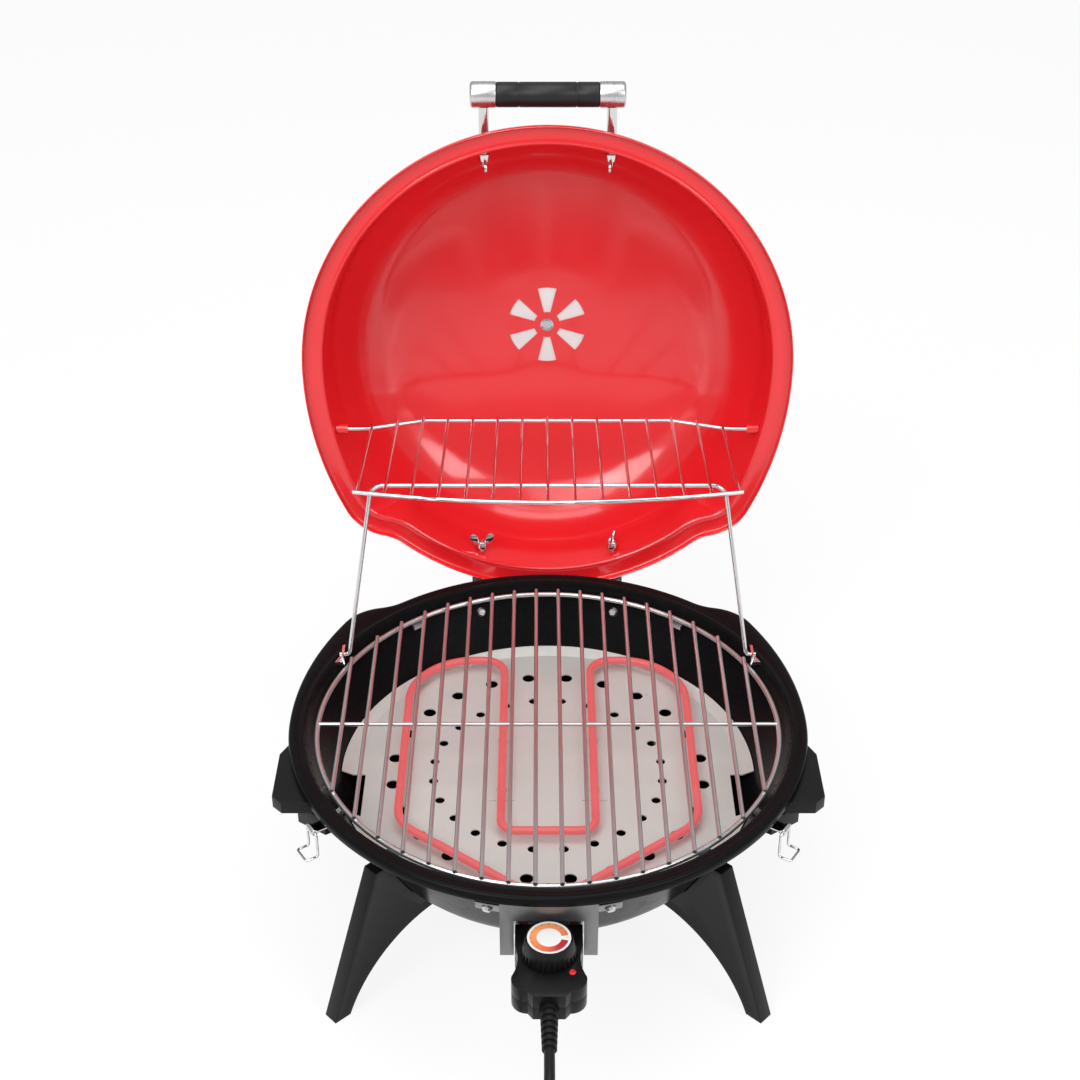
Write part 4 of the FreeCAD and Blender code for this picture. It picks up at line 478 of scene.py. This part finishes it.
def layCord(c):
    points = cordPoints(c)
    curve = bpy.data.curves.new("supplyCord", "CURVE")
    curve.dimensions = "3D"
    curve.bevel_depth, curve.bevel_resolution, curve.use_fill_caps = c["thick"] / 2, c["bevelSteps"], True
    spline = curve.splines.new("NURBS")
    spline.points.add(len(points) - 1)
    for point, place in zip(spline.points, points):
        point.co = (*place, 1)
    spline.order_u = c["order"]
    spline.use_endpoint_u = True
    spline.resolution_u = c["curveSteps"]
    cord = bpy.data.objects.new("supplyCord", curve)
    bpy.context.scene.collection.objects.link(cord)
    curve.materials.append(finishes["cordRubber"])
    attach(cord, "base")
    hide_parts("cord_lead", "cord_coil")


layCord(cordSet)
print("cord laid")

# tools for the pieces
mergeSet = {"gap": 1e-6, "flatAngle": 0.4}


def pick(*objects):
    bpy.ops.object.select_all(action="DESELECT")
    for obj in objects:
        obj.select_set(True)
    bpy.context.view_layer.objects.active = objects[0]


def settle(obj, body, finish, stands, smoothAngle):
    pick(obj)
    bpy.ops.object.shade_smooth_by_angle(angle=math.radians(smoothAngle))
    if finish is not None:
        obj.data.materials.clear()
        obj.data.materials.append(finish)
    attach(obj, body)
    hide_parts(*stands)


def wrapGrid(name, around, rings, placeAt):
    # a grid rolled up into a closed skin, its seam and poles merged
    bpy.ops.object.select_all(action="DESELECT")
    bpy.ops.mesh.primitive_grid_add(x_subdivisions=around, y_subdivisions=rings - 1, size=1)
    obj = bpy.context.object
    obj.name = obj.data.name = name
    for v in obj.data.vertices:
        i, j = round((v.co.x + 0.5) * around), round((v.co.y + 0.5) * (rings - 1))
        v.co = placeAt(i % around, j)
    bpy.ops.object.mode_set(mode="EDIT")
    bpy.ops.mesh.select_all(action="SELECT")
    bpy.ops.mesh.remove_doubles(threshold=mergeSet["gap"])
    bpy.ops.mesh.normals_make_consistent(inside=False)
    bpy.ops.object.mode_set(mode="OBJECT")
    return obj


def applyAll(obj):
    pick(obj)
    for mod in list(obj.modifiers):
        bpy.ops.object.modifier_apply(modifier=mod.name)


def addBevel(obj, width, segments, angle):
    mod = obj.modifiers.new("softEdge", "BEVEL")
    mod.width, mod.segments, mod.limit_method, mod.angle_limit = width, segments, "ANGLE", math.radians(angle)
    mod.use_clamp_overlap = True
    applyAll(obj)


def mergedCopy(node, name):
    obj = bpy.data.objects.new(name, cadNodes[node].data.copy())
    bpy.context.scene.collection.objects.link(obj)
    pick(obj)
    bpy.ops.object.mode_set(mode="EDIT")
    bpy.ops.mesh.select_all(action="SELECT")
    bpy.ops.mesh.customdata_custom_splitnormals_clear()
    bpy.ops.mesh.remove_doubles(threshold=mergeSet["gap"])
    bpy.ops.mesh.dissolve_limited(angle_limit=math.radians(mergeSet["flatAngle"]))
    bpy.ops.object.mode_set(mode="OBJECT")
    return obj


# rim outline shared by bowl and lid: a circle with an ear at each rear corner
rimSet = {"radius": 0.245, "sweep": 0.345, "sweepEnd": 27.0, "corner": 0.050, "notch": 0.050,
          "sweepSteps": 28, "cornerSteps": 26, "notchSteps": 16, "rearSteps": 52, "frontSteps": 150}


def rimPlan(r):
    # centres and end angles of the arcs of the right half: sweep, corner of the ear and notch behind it
    shift = r["sweep"] - r["radius"]
    sweepEnd = math.radians(r["sweepEnd"])
    inner = r["sweep"] - r["corner"]
    corner = Vector((inner * math.cos(sweepEnd) - shift, inner * math.sin(sweepEnd)))
    far = r["radius"] + r["notch"]
    reach = r["corner"] + r["notch"]
    turn = math.acos((far ** 2 + corner.length ** 2 - reach ** 2) / (2 * far * corner.length))
    notchEnd = math.atan2(corner.y, corner.x) + turn
    notch = Vector((far * math.cos(notchEnd), far * math.sin(notchEnd)))
    cornerEnd = math.atan2(notch.y - corner.y, notch.x - corner.x)
    return shift, sweepEnd, corner, cornerEnd, notch, notchEnd


def arcPoints(centre, radius, start, end, count):
    steps = [start + (end - start) * k / count for k in range(count)]
    return [Vector((centre[0] + radius * math.cos(a), centre[1] + radius * math.sin(a))) for a in steps]


def rimPath(r, offset):
    shift, sweepEnd, corner, cornerEnd, notch, notchEnd = rimPlan(r)
    right = arcPoints((-shift, 0), r["sweep"] + offset, 0, sweepEnd, r["sweepSteps"])
    right += arcPoints(corner, r["corner"] + offset, sweepEnd, cornerEnd, r["cornerSteps"])
    right += arcPoints(notch, r["notch"] - offset, cornerEnd + math.pi, notchEnd + math.pi, r["notchSteps"])
    rear = arcPoints((0, 0), r["radius"] + offset, notchEnd, math.pi - notchEnd, r["rearSteps"])
    turned = right + [rear[0]]
    left = [Vector((-p.x, p.y)) for p in reversed(turned[1:])]
    front = arcPoints((0, 0), r["radius"] + offset, math.pi, 2 * math.pi, r["frontSteps"])
    return right + rear + left + front


rimBase = rimPath(rimSet, 0.0)
rimCount = len(rimBase)
rimPaths = {}


def ringPlace(ring, i):
    # ring: (offset from the rim, radius of a circle, share of the circle, height)
    offset, radius, share, z = ring
    if offset not in rimPaths:
        rimPaths[offset] = rimPath(rimSet, offset)
    onRim = rimPaths[offset][i]
    onRound = rimBase[i].normalized() * radius
    flat = onRim.lerp(onRound, share)
    return Vector((flat.x, flat.y, z))


def roundRings(rows):
    return [(0, r, 1, z) for r, z in rows]


def hemRings(rows):
    return [(offset, 0, 0, z) for offset, z in rows]


def spanRings(span):
    (r0, z0), (r1, z1), count = span
    return roundRings((r0 + (r1 - r0) * k / count, z0 + (z1 - z0) * k / count) for k in range(1, count + 1))


def bulgedSteps(start, end, bulge, count):
    # points of an arc through start, a middle pushed out by bulge, and end
    a, b = Vector(start), Vector(end)
    chord = b - a
    half = chord.length / 2
    radius = (half * half + bulge * bulge) / (2 * bulge)
    out = Vector((-chord.y, chord.x)).normalized()
    if out.y < 0:
        out = -out
    centre = (a + b) / 2 + out * (bulge - radius)
    first, last = a - centre, b - centre
    return [centre + radius * first.slerp(last, k / count) for k in range(count + 1)]


# lid: pressed red dome with a rolled skirt and a bead inside its flange, modelled shut and then turned open
lidSet = {
    "base": 0.207, "wall": 0.0016, "hinge": (0.0, 0.243, 0.189), "open": -96.0, "smooth": 28,
    "crown": (0.052, 0.337), "crownRings": (0.0, 0.012, 0.046), "crownBulge": 0.0025, "crownSteps": 8,
    "crease": (0.164, 0.317), "shoulderBulge": 0.009, "shoulderSteps": 10,
    "side": (0.224, 0.254), "sideSteps": 8, "flange": 0.015, "flangeRise": 0.003,
    "roll": [(-0.0145, 0.2105), (-0.0135, 0.2092), (-0.0115, 0.2086), (-0.004, 0.2086), (0.0005, 0.2086),
             (0.002, 0.2082), (0.0031, 0.207), (0.0036, 0.2052), (0.0036, 0.2005), (0.0033, 0.1994),
             (0.0028, 0.199), (0.0023, 0.1994), (0.002, 0.2005), (0.002, 0.2045), (0.0016, 0.2058),
             (0.0006, 0.2066), (-0.001, 0.207), (-0.0105, 0.207), (-0.0122, 0.2068), (-0.0136, 0.2062),
             (-0.015, 0.2064), (-0.0162, 0.2074), (-0.0168, 0.209)],
    "ventCount": 6, "ventInner": 0.014, "ventOuter": 0.042, "ventHalf": 14.0, "ventStart": 270.0,
    "ventDown": 0.008, "ventDeep": 0.014, "ventSteps": 8,
}
lidTurn = (Matrix.Translation(lidSet["hinge"]) @ Matrix.Rotation(math.radians(lidSet["open"]), 4, "X")
           @ Matrix.Translation([-k for k in lidSet["hinge"]]))


def domeRings(s, inset):
    side = (s["side"][0] - inset, s["side"][1] - inset / 2)
    crease = (s["crease"][0] - inset / 2, s["crease"][1] - inset)
    crown = (s["crown"][0], s["crown"][1] - inset)
    foot = s["base"] + s["flangeRise"]
    rings = roundRings((r, crown[1]) for r in s["crownRings"])
    rings += roundRings(bulgedSteps(crown, crease, s["crownBulge"], s["crownSteps"])[1:-1])
    rings += roundRings(bulgedSteps(crease, side, s["shoulderBulge"], s["shoulderSteps"])[1:-1])
    for k in range(s["sideSteps"]):
        share = 1 - k / s["sideSteps"]
        rings.append((-s["flange"] - inset, side[0], share, foot + (side[1] - foot) * share))
    return rings


def ventCutter(s):
    cutters = []
    for k in range(s["ventCount"]):
        bpy.ops.object.select_all(action="DESELECT")
        bpy.ops.mesh.primitive_grid_add(x_subdivisions=s["ventSteps"], y_subdivisions=1, size=1)
        cutter = bpy.context.object
        middle = s["ventStart"] + k * 360 / s["ventCount"]
        for v in cutter.data.vertices:
            a = math.radians(middle + 2 * s["ventHalf"] * v.co.x)
            r = s["ventInner"] if v.co.y < 0 else s["ventOuter"]
            v.co = Vector((r * math.cos(a), r * math.sin(a), s["crown"][1] - s["ventDown"]))
        bpy.ops.object.mode_set(mode="EDIT")
        bpy.ops.mesh.select_all(action="SELECT")
        bpy.ops.mesh.extrude_region_move(TRANSFORM_OT_translate={"value": (0, 0, s["ventDeep"])})
        bpy.ops.mesh.select_all(action="SELECT")
        bpy.ops.mesh.normals_make_consistent(inside=False)
        bpy.ops.object.mode_set(mode="OBJECT")
        cutters.append(cutter)
    pick(*cutters)
    bpy.ops.object.join()
    return cutters[0]


def pressLid(s):
    rings = domeRings(s, 0.0) + hemRings(s["roll"]) + list(reversed(domeRings(s, s["wall"])))
    lid = wrapGrid("lidPan", rimCount, len(rings), lambda i, j: ringPlace(rings[j], i))
    cutter = ventCutter(s)
    mod = lid.modifiers.new("ventCut", "BOOLEAN")
    mod.operation, mod.solver, mod.object = "DIFFERENCE", "EXACT", cutter
    applyAll(lid)
    bpy.data.objects.remove(cutter)
    lid.data.transform(lidTurn)
    settle(lid, "lid", finishes["redEnamel"], ["lid_shell"], s["smooth"])


pressLid(lidSet)
print("lid pressed")

# bowl: black pan with a rolled hem and a shallow groove round its mouth
bowlSet = {
    "under": [(0.0, 0.088), (0.15, 0.088), (0.16, 0.0884), (0.1665, 0.0905), (0.1712, 0.0943), (0.1752, 0.099),
              (0.1788, 0.1035), (0.182, 0.1087)],
    "wallOut": ((0.182, 0.1087), (0.2306, 0.1965), 10),
    "neck": [(0.2316, 0.2), (0.2325, 0.2031)],
    "roll": [(-0.006, 0.2044), (-0.0022, 0.2042), (-0.0016, 0.2032), (-0.0016, 0.1978), (-0.0013, 0.1972),
             (-0.0008, 0.197), (-0.0003, 0.1972), (0.0, 0.1978), (0.0, 0.2022), (-0.0004, 0.204),
             (-0.0014, 0.2053), (-0.003, 0.206), (-0.006, 0.2061)],
    "groove": [(0.2382, 0.2059), (0.2368, 0.2055), (0.2352, 0.2052), (0.2336, 0.2055), (0.232, 0.2058),
               (0.2306, 0.2053), (0.2298, 0.204), (0.2294, 0.202)],
    "wallIn": ((0.229, 0.197), (0.1795, 0.1074), 10),
    "inside": [(0.1768, 0.103), (0.1735, 0.0988), (0.1695, 0.0945), (0.165, 0.0915), (0.159, 0.09), (0.15, 0.0896),
               (0.0, 0.0896)],
    "smooth": 30,
}


def pressBowl(s):
    rings = roundRings(s["under"]) + spanRings(s["wallOut"]) + roundRings(s["neck"]) + hemRings(s["roll"])
    rings += roundRings(s["groove"]) + spanRings(s["wallIn"]) + roundRings(s["inside"])
    bowl = wrapGrid("bowlPan", rimCount, len(rings), lambda i, j: ringPlace(rings[j], i))
    settle(bowl, "base", finishes["blackEnamel"], ["bowl_shell"], s["smooth"])


pressBowl(bowlSet)
print("bowl pressed")

# lid handle: rubber grip with two faint seams between brushed ferrules
# steps along the axis from an end or a seam, each with what the radius loses there or, in the cup, what it is
gripSet = {
    "centre": (0.0, 0.3395, 0.6957), "half": 0.05, "radius": 0.012, "around": 64, "gripSmooth": 50,
    "endSteps": [(0.0, 0.001), (0.0006, 0.0002), (0.0015, 0.0)],
    "seams": (-0.028, 0.028), "seamSteps": [(-0.0009, 0.0), (-0.0004, 0.0005), (0.0004, 0.0005), (0.0009, 0.0)],
    "ferruleEnd": 0.075, "ferruleRadius": 0.0125, "ferruleSmooth": 40,
    "ferruleIn": [(0.0, 0.0006), (0.0002, 0.0002), (0.0007, 0.0)],
    "ferruleOut": [(0.0026, 0.0), (0.0013, 0.0005), (0.0004, 0.0014), (0.0, 0.0028)],
    "ferruleCup": [(0.0, 0.0045), (0.0006, 0.004), (0.0006, 0.0)],
}


def turnAlongX(name, profile, centre, around):
    def placeAt(i, j):
        a = 2 * math.pi * i / around
        x, r = profile[j]
        return Vector((centre[0] + x, centre[1] + r * math.cos(a), centre[2] + r * math.sin(a)))
    return wrapGrid(name, around, len(profile), placeAt)


def makeHandle(s):
    h, r = s["half"], s["radius"]
    profile = [(-h, 0.0)] + [(-h + x, r - less) for x, less in s["endSteps"]]
    for seam in s["seams"]:
        profile += [(seam + x, r - less) for x, less in s["seamSteps"]]
    profile += [(h - x, r - less) for x, less in reversed(s["endSteps"])] + [(h, 0.0)]
    grip = turnAlongX("handleGrip", profile, s["centre"], s["around"])
    settle(grip, "lid", finishes["gripRubber"], ["handle_grip"], s["gripSmooth"])
    end, wide = s["ferruleEnd"], s["ferruleRadius"]
    steps = [(h, 0.0)] + [(h + x, wide - less) for x, less in s["ferruleIn"]]
    steps += [(end - x, wide - less) for x, less in s["ferruleOut"]] + [(end - x, q) for x, q in s["ferruleCup"]]
    for side, sign in (("Left", -1), ("Right", 1)):
        ferrule = turnAlongX("handleFerrule" + side, [(sign * x, q) for x, q in steps], s["centre"], s["around"])
        stands = ["handle_ferrule_" + side.lower()]
        settle(ferrule, "lid", finishes["ferruleSteel"], stands, s["ferruleSmooth"])


makeHandle(gripSet)
print("lid handle made")

# wing nuts inside the lid: one is modelled, each place gets its own copy
nutSet = {
    "hub": 0.0062, "hubTop": 0.005, "hubHigh": 0.0075, "hubSides": 24, "topNormal": 0.9, "bore": 0.0026,
    "boreDeep": 0.005, "wingWide": 0.0048, "wingHigh": 0.0068, "wingThick": 0.0024, "wingSides": 28,
    "wingFoot": 0.72, "wingOut": 0.0078, "wingUp": 0.0102, "lean": 28.0, "edge": 0.0006, "edgeSegments": 2,
    "edgeAngle": 50, "smooth": 40,
    "spins": {"handle_wing_nuts": (82.0, 98.0), "hinge_wing_nuts": (6.0, 74.0)},
}


def modelNut(s):
    bpy.ops.object.select_all(action="DESELECT")
    bpy.ops.mesh.primitive_cone_add(vertices=s["hubSides"], radius1=s["hub"], radius2=s["hubTop"],
                                    depth=s["hubHigh"], location=(0, 0, s["hubHigh"] / 2))
    hub = bpy.context.object
    bpy.ops.object.transform_apply(location=True, rotation=True, scale=True)
    bpy.ops.object.mode_set(mode="EDIT")
    bpy.ops.mesh.select_all(action="DESELECT")
    bpy.ops.object.mode_set(mode="OBJECT")
    for face in hub.data.polygons:
        face.select = face.normal.z > s["topNormal"]
    bpy.ops.object.mode_set(mode="EDIT")
    bpy.ops.mesh.inset(thickness=s["hubTop"] - s["bore"], depth=0)
    bpy.ops.mesh.extrude_region_move(TRANSFORM_OT_translate={"value": (0, 0, -s["boreDeep"])})
    bpy.ops.object.mode_set(mode="OBJECT")
    made = [hub]
    for sign in (-1, 1):
        bpy.ops.object.select_all(action="DESELECT")
        bpy.ops.mesh.primitive_cylinder_add(vertices=s["wingSides"], radius=1.0, depth=s["wingThick"],
                                            end_fill_type="NGON")
        wing = bpy.context.object
        for v in wing.data.vertices:
            narrow = s["wingFoot"] + (1 - s["wingFoot"]) * (v.co.y + 1) / 2
            v.co = Vector((v.co.x * s["wingWide"] * narrow, v.co.y * s["wingHigh"], v.co.z))
        lean = Matrix.Rotation(math.radians(sign * s["lean"]), 4, "Y")
        wing.data.transform(Matrix.Translation((sign * s["wingOut"], 0, s["wingUp"])) @ lean
                            @ Matrix.Rotation(math.radians(90), 4, "X"))
        made.append(wing)
    pick(*made)
    bpy.ops.object.join()
    addBevel(hub, s["edge"], s["edgeSegments"], s["edgeAngle"])
    return hub


def placeNuts(s):
    pattern = modelNut(s)
    for node, way in (("handle_wing_nuts", -1), ("hinge_wing_nuts", 1)):
        axis = (lidTurn.to_3x3() @ Vector((0, -way, 0))).normalized()
        across = Vector((1, 0, 0))
        third = axis.cross(across)
        for k, sign in enumerate((-1, 1)):
            points = [v.co for v in cadNodes[node].data.vertices if v.co.x * sign > 0]
            x = (min(p.x for p in points) + max(p.x for p in points)) / 2
            t = (min(p.dot(third) for p in points) + max(p.dot(third) for p in points)) / 2
            seat = across * x + third * t + axis * min(p.dot(axis) for p in points)
            turn = Matrix((across, third, axis)).transposed().to_4x4()
            label = node.replace("_wing_nuts", "WingNut") + ("Left", "Right")[k]
            nut = bpy.data.objects.new(label, pattern.data.copy())
            bpy.context.scene.collection.objects.link(nut)
            spin = Matrix.Rotation(math.radians(s["spins"][node][k]), 4, "Z")
            nut.data.transform(Matrix.Translation(seat) @ turn @ spin)
            settle(nut, "lid", finishes["brightChrome"], [node], s["smooth"])
    bpy.data.objects.remove(pattern)


placeNuts(nutSet)
print("wing nuts placed")

# moulded legs: rounded blades with a sunk panel on each side
legSet = {"bigFace": 0.0045, "border": 0.007, "sunk": -0.0014, "edge": 0.0022, "edgeSegments": 3, "edgeAngle": 32,
          "smooth": 32}


def mouldLegs(s):
    # in face mode only the chosen big faces are sunk
    bpy.context.tool_settings.mesh_select_mode = (False, False, True)
    for corner in ("front_left", "front_right", "rear_left", "rear_right"):
        leg = mergedCopy("leg_" + corner, "leg" + corner.title().replace("_", ""))
        for face in leg.data.polygons:
            face.select = face.area > s["bigFace"]
        bpy.ops.object.mode_set(mode="EDIT")
        bpy.ops.mesh.inset(thickness=s["border"], depth=s["sunk"], use_individual=True)
        bpy.ops.object.mode_set(mode="OBJECT")
        addBevel(leg, s["edge"], s["edgeSegments"], s["edgeAngle"])
        settle(leg, "base", None, ["leg_" + corner], s["smooth"])


mouldLegs(legSet)
print("legs moulded")

# other moulded and folded pieces: the CAD form with its edges eased
# node, piece, body, width of the eased edge, its segments, slot
easedSet = {
    "edgeAngle": 35, "smooth": 32,
    "pieces": [
        ("side_handle_left", "sideHandleLeft", "base", 0.0030, 4, "black_plastic"),
        ("side_handle_right", "sideHandleRight", "base", 0.0030, 4, "black_plastic"),
        ("terminal_hood", "terminalHood", "base", 0.0005, 2, "bright_chrome"),
        ("controller_upper_case", "controllerUpper", "base", 0.0018, 4, "black_plastic"),
        ("controller_lower_case", "controllerLower", "base", 0.0011, 3, "black_plastic"),
        ("control_knob", "controlKnob", "knob", 0.0005, 2, "black_plastic"),
        ("plug_body", "plugBody", "base", 0.0012, 3, "cord_black"),
        ("latch_bracket_left", "latchBracketLeft", "base", 0.0004, 2, "bright_chrome"),
        ("latch_bracket_right", "latchBracketRight", "base", 0.0004, 2, "bright_chrome"),
    ],
}
for node, pieceName, body, edge, segments, slotName in easedSet["pieces"]:
    eased = mergedCopy(node, pieceName)
    addBevel(eased, edge, segments, easedSet["edgeAngle"])
    settle(eased, body, None, [node], easedSet["smooth"])
print("moulded pieces eased")

print("scene finished")
